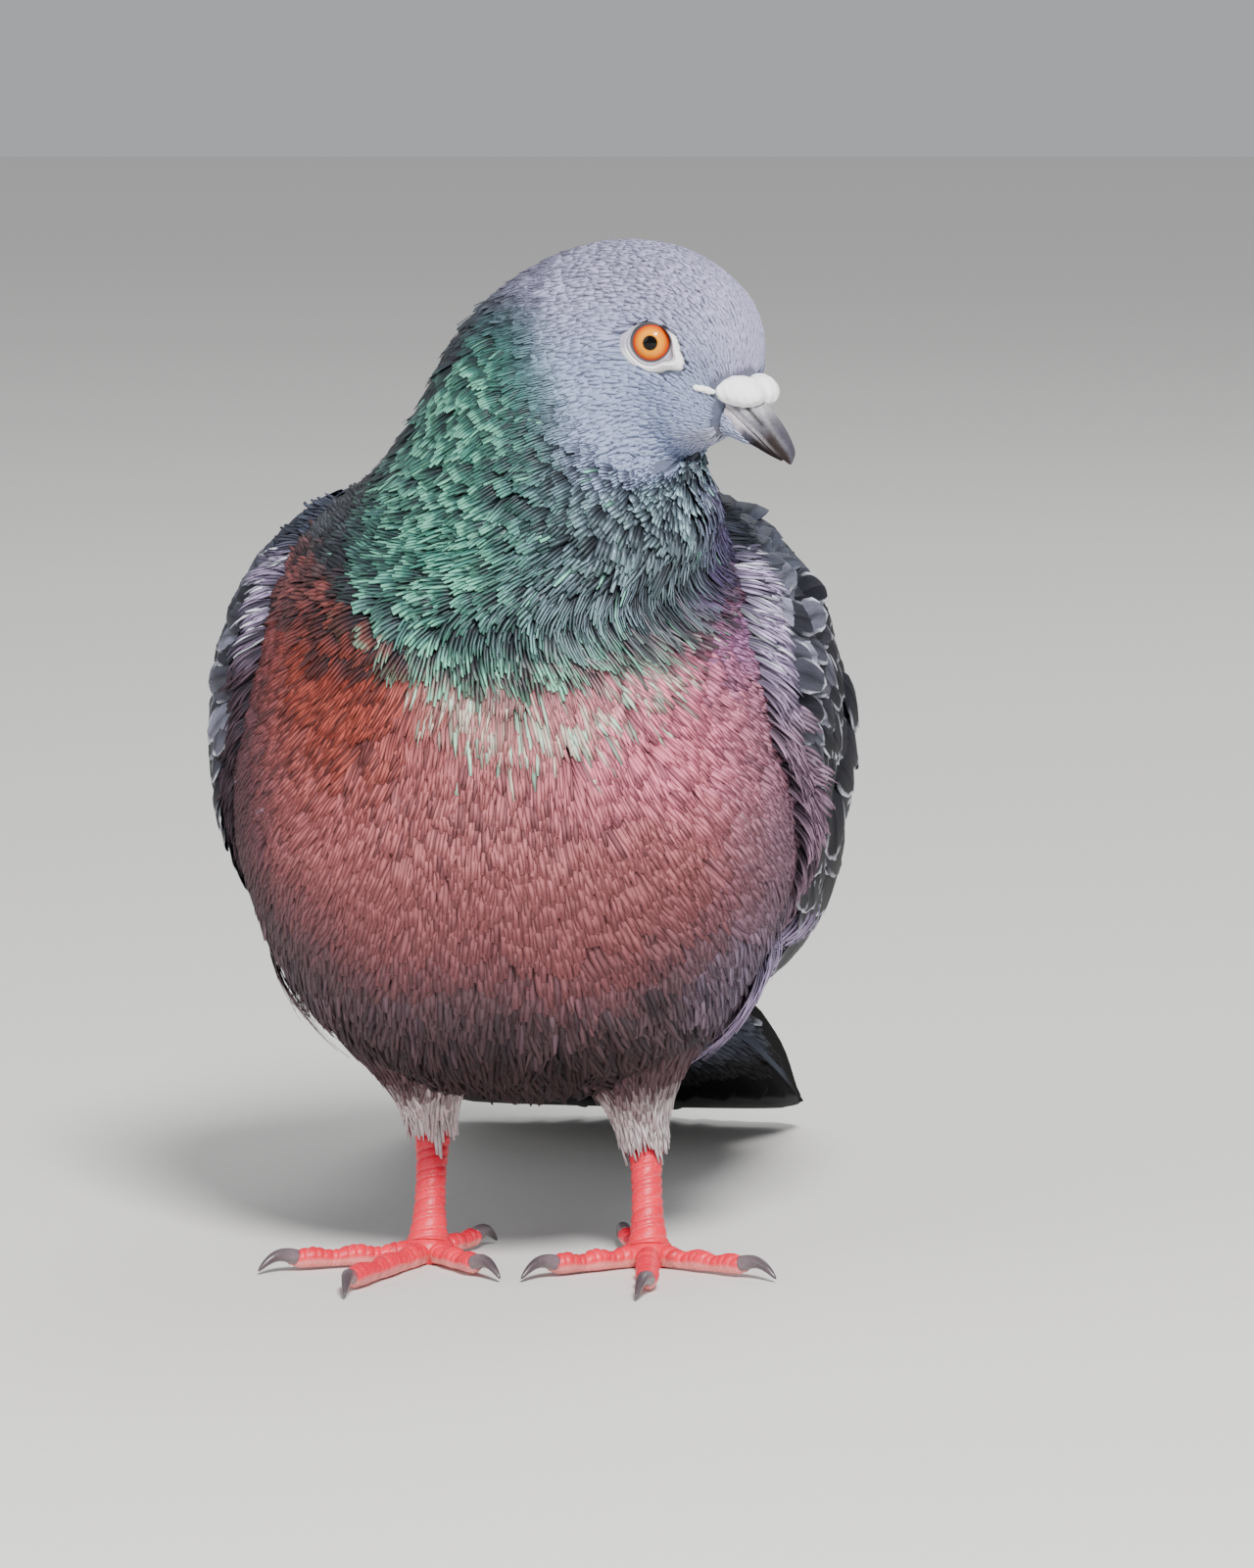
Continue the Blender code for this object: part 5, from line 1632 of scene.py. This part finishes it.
CULMEN = [(14.9, 163.2), (17.2, 160.4), (19.6, 158.2), (21.8, 156.0), (23.8, 153.4),
          (25.1, 150.9), (24.8, 148.8)]
MOUTH_TOP = [(12.9, 158.9), (15.0, 157.2), (17.2, 155.4), (19.5, 153.6), (21.7, 151.6),
             (23.5, 150.0), (24.5, 148.7)]
UPPER_WIDTH = [3.9, 3.5, 3.1, 2.8, 2.4, 1.6, 0.25]
MOUTH_LOW = [(12.8, 158.4), (14.9, 156.7), (17.0, 154.9), (19.1, 153.2), (21.2, 151.3),
             (23.0, 149.7)]
CHIN = [(10.6, 153.4), (13.0, 152.9), (15.4, 152.1), (17.8, 151.2), (20.1, 150.2),
        (22.5, 149.2)]
LOWER_WIDTH = [3.8, 3.3, 2.8, 2.4, 1.8, 0.5]


def globe(rows, columns):
    """Unit globe coordinates (x along its own axis) as rings from one pole to the other."""
    polar = np.linspace(0.03, np.pi - 0.03, rows)[:, None]
    angle = whole_turn(columns)[None, :]
    return np.cos(polar) + 0 * angle, np.sin(polar) * np.cos(angle), np.sin(polar) * np.sin(angle)


class PIGEON_OT_bill(bpy.types.Operator):
    """Build the upper and lower bill and the two lobes of the cere"""

    bl_idname = "pigeon.bill"
    bl_label = "Bill and cere"

    def execute(self, context):
        # Bill horn: keratin with a low polish and fine growth lines.
        horn = skin_look("bill_horn", 0.5, 1800.0, 0.2, grain=0.22, **{
            "IOR": 1.54, "Specular IOR Level": 0.25})
        self.half("bill_upper", CULMEN, MOUTH_TOP, UPPER_WIDTH, True, horn)
        self.chin(self.half("bill_lower", MOUTH_LOW, CHIN, LOWER_WIDTH, False, horn))
        # Cere: soft white skin under a bloom of powder down.
        powder = skin_look("powdered_cere", 0.75, 2600.0, 0.35, grain=0.05, **{
            "Subsurface Weight": 0.15, "Subsurface Scale": 0.001})
        form = body_form()
        for name, side in (("right", 1), ("left", -1)):
            self.lobe(name, side, powder, form)
        return {"FINISHED"}

    def half(self, name, top, bottom, widths, arch_up, look):
        """Sections from root to tip: base + sin(a) * (crown - base), width * cos(a) aside."""
        rows, columns = 90, 56
        at = np.linspace(0, len(top) - 1, rows)
        high, low = smooth(top, at), smooth(bottom, at)
        wide = smooth(widths, at)[:, 0]
        base, crown = (low, high) if arch_up else (high, low)
        turn = whole_turn(columns)
        rise = np.where(np.sin(turn) > 0, np.abs(np.sin(turn)) ** 0.9, 0.10 * np.sin(turn))
        share = at[:, None] / at[-1] + 0 * turn[None]
        # The nostril is a slit along each side of the upper half, under the cere's edge.
        slit = bump_at(rise[None], 0.66 - 0.3 * share, 0.1) * ease(0.12, 0.2, share)
        slit = slit * ease(0.52, 0.42, share) * arch_up
        place_2d = base[:, None] + rise[None, :, None] * (crown - base)[:, None]
        aside = wide[:, None] * np.sign(np.cos(turn)) * np.abs(np.cos(turn)) ** 0.85
        rings = on_head(place_2d[..., 0], place_2d[..., 1], aside * (1 - 0.13 * slit))
        points, faces = closed_loft(rings, flip=arch_up)
        # Brown towards the tip, but for the ridge; a pale bloom from the cere, in smears.
        brown = ease(0.42, 0.62, share) * (1 - 0.75 * ease(0.6, 0.9, rise)[None] * arch_up)
        smear = 0.6 + 0.4 * np.sin(17 * share + 9 * rise[None]) * np.sin(11 * rise[None] + 4)
        bloom = ease(0.62, 0.15, share) * smear * ease(0.1, 0.5, rise)[None] * arch_up
        edge = ease(0.24, 0.04, np.abs(rise))[None, :] * ease(0.9, 0.3, share)
        root = ease(0.4, 0.26, share) * 0.6 * (not arch_up)
        tone = painted("bill", ("bill_tip", brown), ("cere", 0.4 * bloom), ("bill_edge", root),
                       ("bill_edge", 0.6 * edge), ("pupil", 0.95 * slit))
        add_piece(f"{name}_horn", "dark_bill", look, (points, faces, with_poles(tone)), name)
        return rings

    def chin(self, rings):
        """Tiny feathers that run forward under the jaw, over the root of its horn."""
        form = Form(rings, True, rings - rings.mean(1, keepdims=True))
        row, column = lay_roots(form, 3.0, 0.5 * form.rows, 0.6, 0.6, 401)
        low = np.sin(2 * np.pi * column / form.columns)
        keep = low > 0.1 + 1.3 * row / form.rows
        row, column = row[keep], column[keep]
        random = default_rng(401)
        shapes = plumes(form, row, column, 2.0, 1.1, 401, blades=2, rings=4, lift=(-0.1, 0.25),
                        thick=0.06, turn=np.pi + random.normal(0, 0.2, len(row)))
        tone = painted("cheek", ("chin", 0.3 + np.zeros(len(row))))
        parts = plumage(form, row, column, shapes, 2.0, 1.1, tone, 401, base=0.8)
        look = bpy.data.materials["head_down_barbs"]
        add_piece("coat_chin", "blue_grey_down", look, parts, flat=(1, 2))

    def lobe(self, name, side, look, form):
        """A bean along the bill's root, higher in front: y and z times 1 + 0.15 x, faintly
        creased, with the small pale swelling of the gape behind it."""
        rear, front = cere_ends(side)
        along = unit(front - rear)
        aside = np.cross(along, UP)
        x, y, z = globe(56, 72)
        crease = 1 - 0.025 * np.sin(9 * x + 2 * z) ** 2 - 0.015 * np.sin(13 * y + 5 * x)
        fat = crease * (1 + 0.15 * x)
        long, deep, high = CERE_RADII
        tall = z * fat * high * (1 - 0.2 * (z < 0))
        rings = (front + rear) / 2 + (x * crease * long)[..., None] * along + (
            (y * fat * deep)[..., None] * aside + tall[..., None] * UP)
        parts = [closed_loft(rings)]
        column = 0.02 * TURNS if side > 0 else 0.48 * TURNS
        point, normal, _, across, _ = form.read(np.array(1.45 * STEPS), np.array(column))
        across = unit(across)
        x, y, z = globe(28, 36)
        lumpy = (1 + 0.16 * np.sin(7 * x + 2 * z) * np.cos(5 * y + 3 * x)) / (1 - x * x) ** 0.22
        ways = (2.1 * x - 0.3)[..., None] * np.cross(across, normal)
        ways = ways + (0.62 * y * lumpy + 0.15 * x)[..., None] * across
        parts.append(closed_loft(point + ways + (0.5 * z * lumpy)[..., None] * normal))
        points, faces = join(parts)
        tone = np.broadcast_to(colour("cere"), points.shape)
        add_piece(f"cere_lobe_{name}", "white_cere", look, (points, faces, tone), f"cere_{name}")


TOE_RADIUS = {"inner": 1.7, "middle": 1.85, "outer": 1.65, "hind": 1.5}
FOOT_LEVEL = 1.7


def scaled_tube(path, radii, columns, scute, floor, seed, sole=True):
    """A scaly tube: each scute bows out as 1 - |2 f - 1|^3 of its length f, lines between.

    Scutes cover the upper side, or all of it without a sole; on the sole small pimples on a
    lattice stand for its papillae.
    """
    rings = tube(path, radii, columns)
    run = np.append(0.0, np.cumsum(norm(np.diff(path, axis=0), axis=1)))
    angle = whole_turn(columns)
    up = np.sin(angle)
    outward = unit(rings - path[:, None])
    wave = 0.35 * np.cos(angle)[None] + 0.12 * np.sin(run[:, None] * 1.7 + seed)
    phase = (run[:, None] / scute + wave) % 1.0
    bow = 1 - np.abs(2 * phase - 1) ** 3
    top = (ease(-0.35, 0.25, up) if sole else 0 * up + 1)[None]
    small = np.sin(run[:, None] * 2 * np.pi / 0.8) * np.sin(angle * 9)[None]
    relief = top * 0.3 * bow + (1 - top) * 0.14 * small
    rings = rings + outward * relief[..., None]
    line = top * ease(0.45, 0.05, bow)
    tone = painted("scale", ("sole", (1 - top) + 0 * run[:, None]), ("scale_edge", 0.5 * line))
    number = (run[:, None] / scute + wave).astype(int) % 97
    each_scute = default_rng(seed).normal(1, 0.09, 97)[number]
    tone = tone * each_scute[..., None]
    if floor is not None:
        rings[..., 2] = np.maximum(rings[..., 2], floor)
    return *closed_loft(rings), with_poles(tone)


class PIGEON_OT_feet(bpy.types.Operator):
    """Build the bare shanks, toes and claws"""

    bl_idname = "pigeon.feet"
    bl_label = "Feet"

    def execute(self, context):
        # Scaly skin: waxy keratin plates over blood-red skin, softly glossy.
        scaly = skin_look("waxy_scales", 0.42, 2500.0, 0.3, grain=0.12, **{
            "Subsurface Weight": 0.1, "Subsurface Scale": 0.001, "IOR": 1.5})
        horn = skin_look("claw_horn", 0.3, 1500.0, 0.1, grain=0.15, **{"IOR": 1.54})
        for side in FEET:
            self.foot(side, scaly, horn)
        return {"FINISHED"}

    def foot(self, side, scaly, horn):
        """A scaly shank, pad and toes as one piece, and the claws as another."""
        foot = FEET[side]
        ball = np.array(foot["ball"], float)
        top = np.array(foot["shank_top"])
        low = np.array([*ball, 3.4])
        share = np.linspace(-0.22, 1, 110)
        path = top + share[:, None] * (low - top)
        radii = 2.5 + 0.75 * np.abs(2 * np.clip(share, 0, 1) - 0.8) ** 2.5
        parts = [scaled_tube(path, radii, 48, size("scute"), None, 7, sole=False)]
        parts.append(self.pad(ball))
        claws = []
        for seed, (name, (root, tip)) in enumerate(foot["toes"].items()):
            root, tip = np.array(root), np.array(tip)
            ahead = unit(root - ball)
            start = ball + ahead * 1.0
            share = np.linspace(0, 1, 96)
            path = np.empty((96, 3))
            path[:, :2] = start + share[:, None] * (root + ahead * 0.3 - start)
            path[:, 2] = FOOT_LEVEL + 0.35 * np.sin(share * np.pi * 3) ** 2 + 0.3 * share
            radii = TOE_RADIUS[name] * (1.0 - 0.1 * share - 0.12 * np.cos(share * np.pi * 6))
            radii = radii * (1 - 0.45 * ease(0.93, 1.0, share))
            parts.append(scaled_tube(path, radii, 36, size("scute") * 0.85, 0.0, seed))
            claws.append(self.claw(root, tip, ahead))
        nodes = [f"toe_{name}_{side}" for name in foot["toes"]]
        add_piece(f"foot_skin_{side}", "coral_scales", scaly, join(parts), f"shank_{side}",
                  f"pad_{side}", *nodes)
        nodes = [f"claw_{name}_{side}" for name in foot["toes"]]
        add_piece(f"claws_{side}", "grey_claw", horn, join(claws), *nodes)

    def pad(self, ball):
        """The ball of the foot: a squat globe with its underside pressed flat."""
        z, x, y = globe(24, 36)
        ways = np.stack([x, y, z], -1)
        rings = ways * np.array([4.6, 4.6, 3.5]) + np.array([*ball, 2.3])
        rings = rings + ways * 0.14 * (np.sin(rings * 5.5).prod(-1, keepdims=True))
        rings[..., 2] = np.maximum(rings[..., 2], 0.0)
        points, faces = closed_loft(rings[::-1])
        return points, faces, np.broadcast_to(colour("scale"), points.shape)

    def claw(self, root, tip, ahead):
        """A horn that leaves the toe's upper half, rises, and curves down to a point."""
        share = np.linspace(0, 1, 30)
        path = np.empty((30, 3))
        begin = root - ahead * 0.8
        tip = root + 0.84 * (tip - root)
        path[:, :2] = begin + share[:, None] * (tip - begin)
        path[:, 2] = FOOT_LEVEL + 0.9 + 1.1 * np.sin(share * np.pi * 0.9) - 2.2 * share**2
        rings = tube(path, 1.4 * (1 - share) ** 0.6 + 0.1, 20)
        rings[..., 2] = np.maximum(rings[..., 2], 0.02)
        dark = ease(0.1, 0.7, share)[:, None] + np.zeros(20)
        return *closed_loft(rings), with_poles(painted("claw_root", ("claw", dark)))


FLOOR_HALF = 3000.0  # half the floor's side
CAMERA_PLACE = np.array([16.4, -2000.0, 335.0])
CAMERA_DIP = 7.05  # degrees that the camera looks down
CAMERA_LENS = 256.3  # focal length for a frame 36 mm high
LIGHTS_AIM = np.array([0.0, 0.0, 95.0])


class PIGEON_OT_stage(bpy.types.Operator):
    """Lay the floor, hang the lights and set the camera"""

    bl_idname = "pigeon.stage"
    bl_label = "Stage"

    def execute(self, context):
        scene = context.scene
        # Matt studio floor: a pale card with the faintest tooth.
        look = skin_look("matt_floor", 0.9, 400.0, 0.05, grain=0.015)
        line = np.linspace(-FLOOR_HALF, FLOOR_HALF, 9)
        grid = np.stack(np.meshgrid(line, line, indexing="ij"), -1)
        points = np.concatenate([grid, np.zeros((9, 9, 1))], -1).reshape(-1, 3)
        tone = np.broadcast_to(colour("floor"), points.shape)
        fill_mesh("floor", look, points, [grid_faces(9, 9, False)], tone)
        world = scene.world or bpy.data.worlds.new("studio")
        scene.world = world
        world.use_nodes = True
        backdrop = world.node_tree.nodes["Background"]
        backdrop.inputs["Color"].default_value = (0.86, 0.88, 0.92, 1.0)
        backdrop.inputs["Strength"].default_value = 0.5
        # (name, place in mm, size in m, watts)
        lights = (
            ("key", (250, -1450, 1350), 0.45, 74.0),
            ("fill", (-1300, -1100, 700), 1.2, 9.0),
            ("rim", (500, 1100, 1100), 0.9, 7.0),
        )
        for name, at, wide, power in lights:
            data = bpy.data.lights.new(name, "AREA")
            data.shape = "DISK"
            data.size = wide
            data.energy = power
            lamp = bpy.data.objects.new(name, data)
            scene.collection.objects.link(lamp)
            self.aim(lamp, np.array(at, float))
        data = bpy.data.cameras.new("camera")
        data.sensor_fit = "VERTICAL"
        data.sensor_height = 36.0
        data.lens = CAMERA_LENS
        data.clip_end = 20.0
        camera = bpy.data.objects.new("camera", data)
        scene.collection.objects.link(camera)
        camera.location = (CAMERA_PLACE + SHIFT) * MM
        camera.rotation_euler = (np.radians(90 - CAMERA_DIP), 0.0, 0.0)
        scene.camera = camera
        return {"FINISHED"}

    def aim(self, lamp, at):
        """Put a lamp in its place and turn it so that its -Z points to the lights' aim."""
        way = LIGHTS_AIM - at
        turn = np.arctan2(way[1], way[0]) - np.pi / 2
        lamp.location = (at + SHIFT) * MM
        lamp.rotation_euler = (np.arctan2(np.hypot(way[0], way[1]), -way[2]), 0.0, turn)


class PIGEON_PT_panel(bpy.types.Panel):
    """Lists the pieces of the rock dove, its sizes and its colours"""

    bl_idname = "PIGEON_PT_panel"
    bl_label = "Rock dove"
    bl_space_type = "VIEW_3D"
    bl_region_type = "UI"
    bl_category = "Rock dove"

    def draw(self, context):
        for kind in OPERATORS:
            self.layout.operator(kind.bl_idname)
        for key in SIZES:
            self.layout.prop(context.scene.pigeon_sizes, key)
        for key in COLOURS:
            self.layout.prop(context.scene.pigeon_colours, key)


OPERATORS = (PIGEON_OT_skin, PIGEON_OT_coat, PIGEON_OT_wings, PIGEON_OT_tail, PIGEON_OT_eyes,
             PIGEON_OT_bill, PIGEON_OT_feet, PIGEON_OT_stage)
CLASSES = (PigeonColours, PigeonSizes, *OPERATORS, PIGEON_PT_panel)


def register():
    for kind in CLASSES:
        bpy.utils.register_class(kind)
    bpy.types.Scene.pigeon_colours = bpy.props.PointerProperty(type=PigeonColours)
    bpy.types.Scene.pigeon_sizes = bpy.props.PointerProperty(type=PigeonSizes)


def unregister():
    del bpy.types.Scene.pigeon_sizes
    del bpy.types.Scene.pigeon_colours
    for kind in reversed(CLASSES):
        bpy.utils.unregister_class(kind)


def main():
    register()
    for kind in OPERATORS:
        group, name = kind.bl_idname.split(".")
        getattr(getattr(bpy.ops, group), name)()


if __name__ == "__main__":
    main()
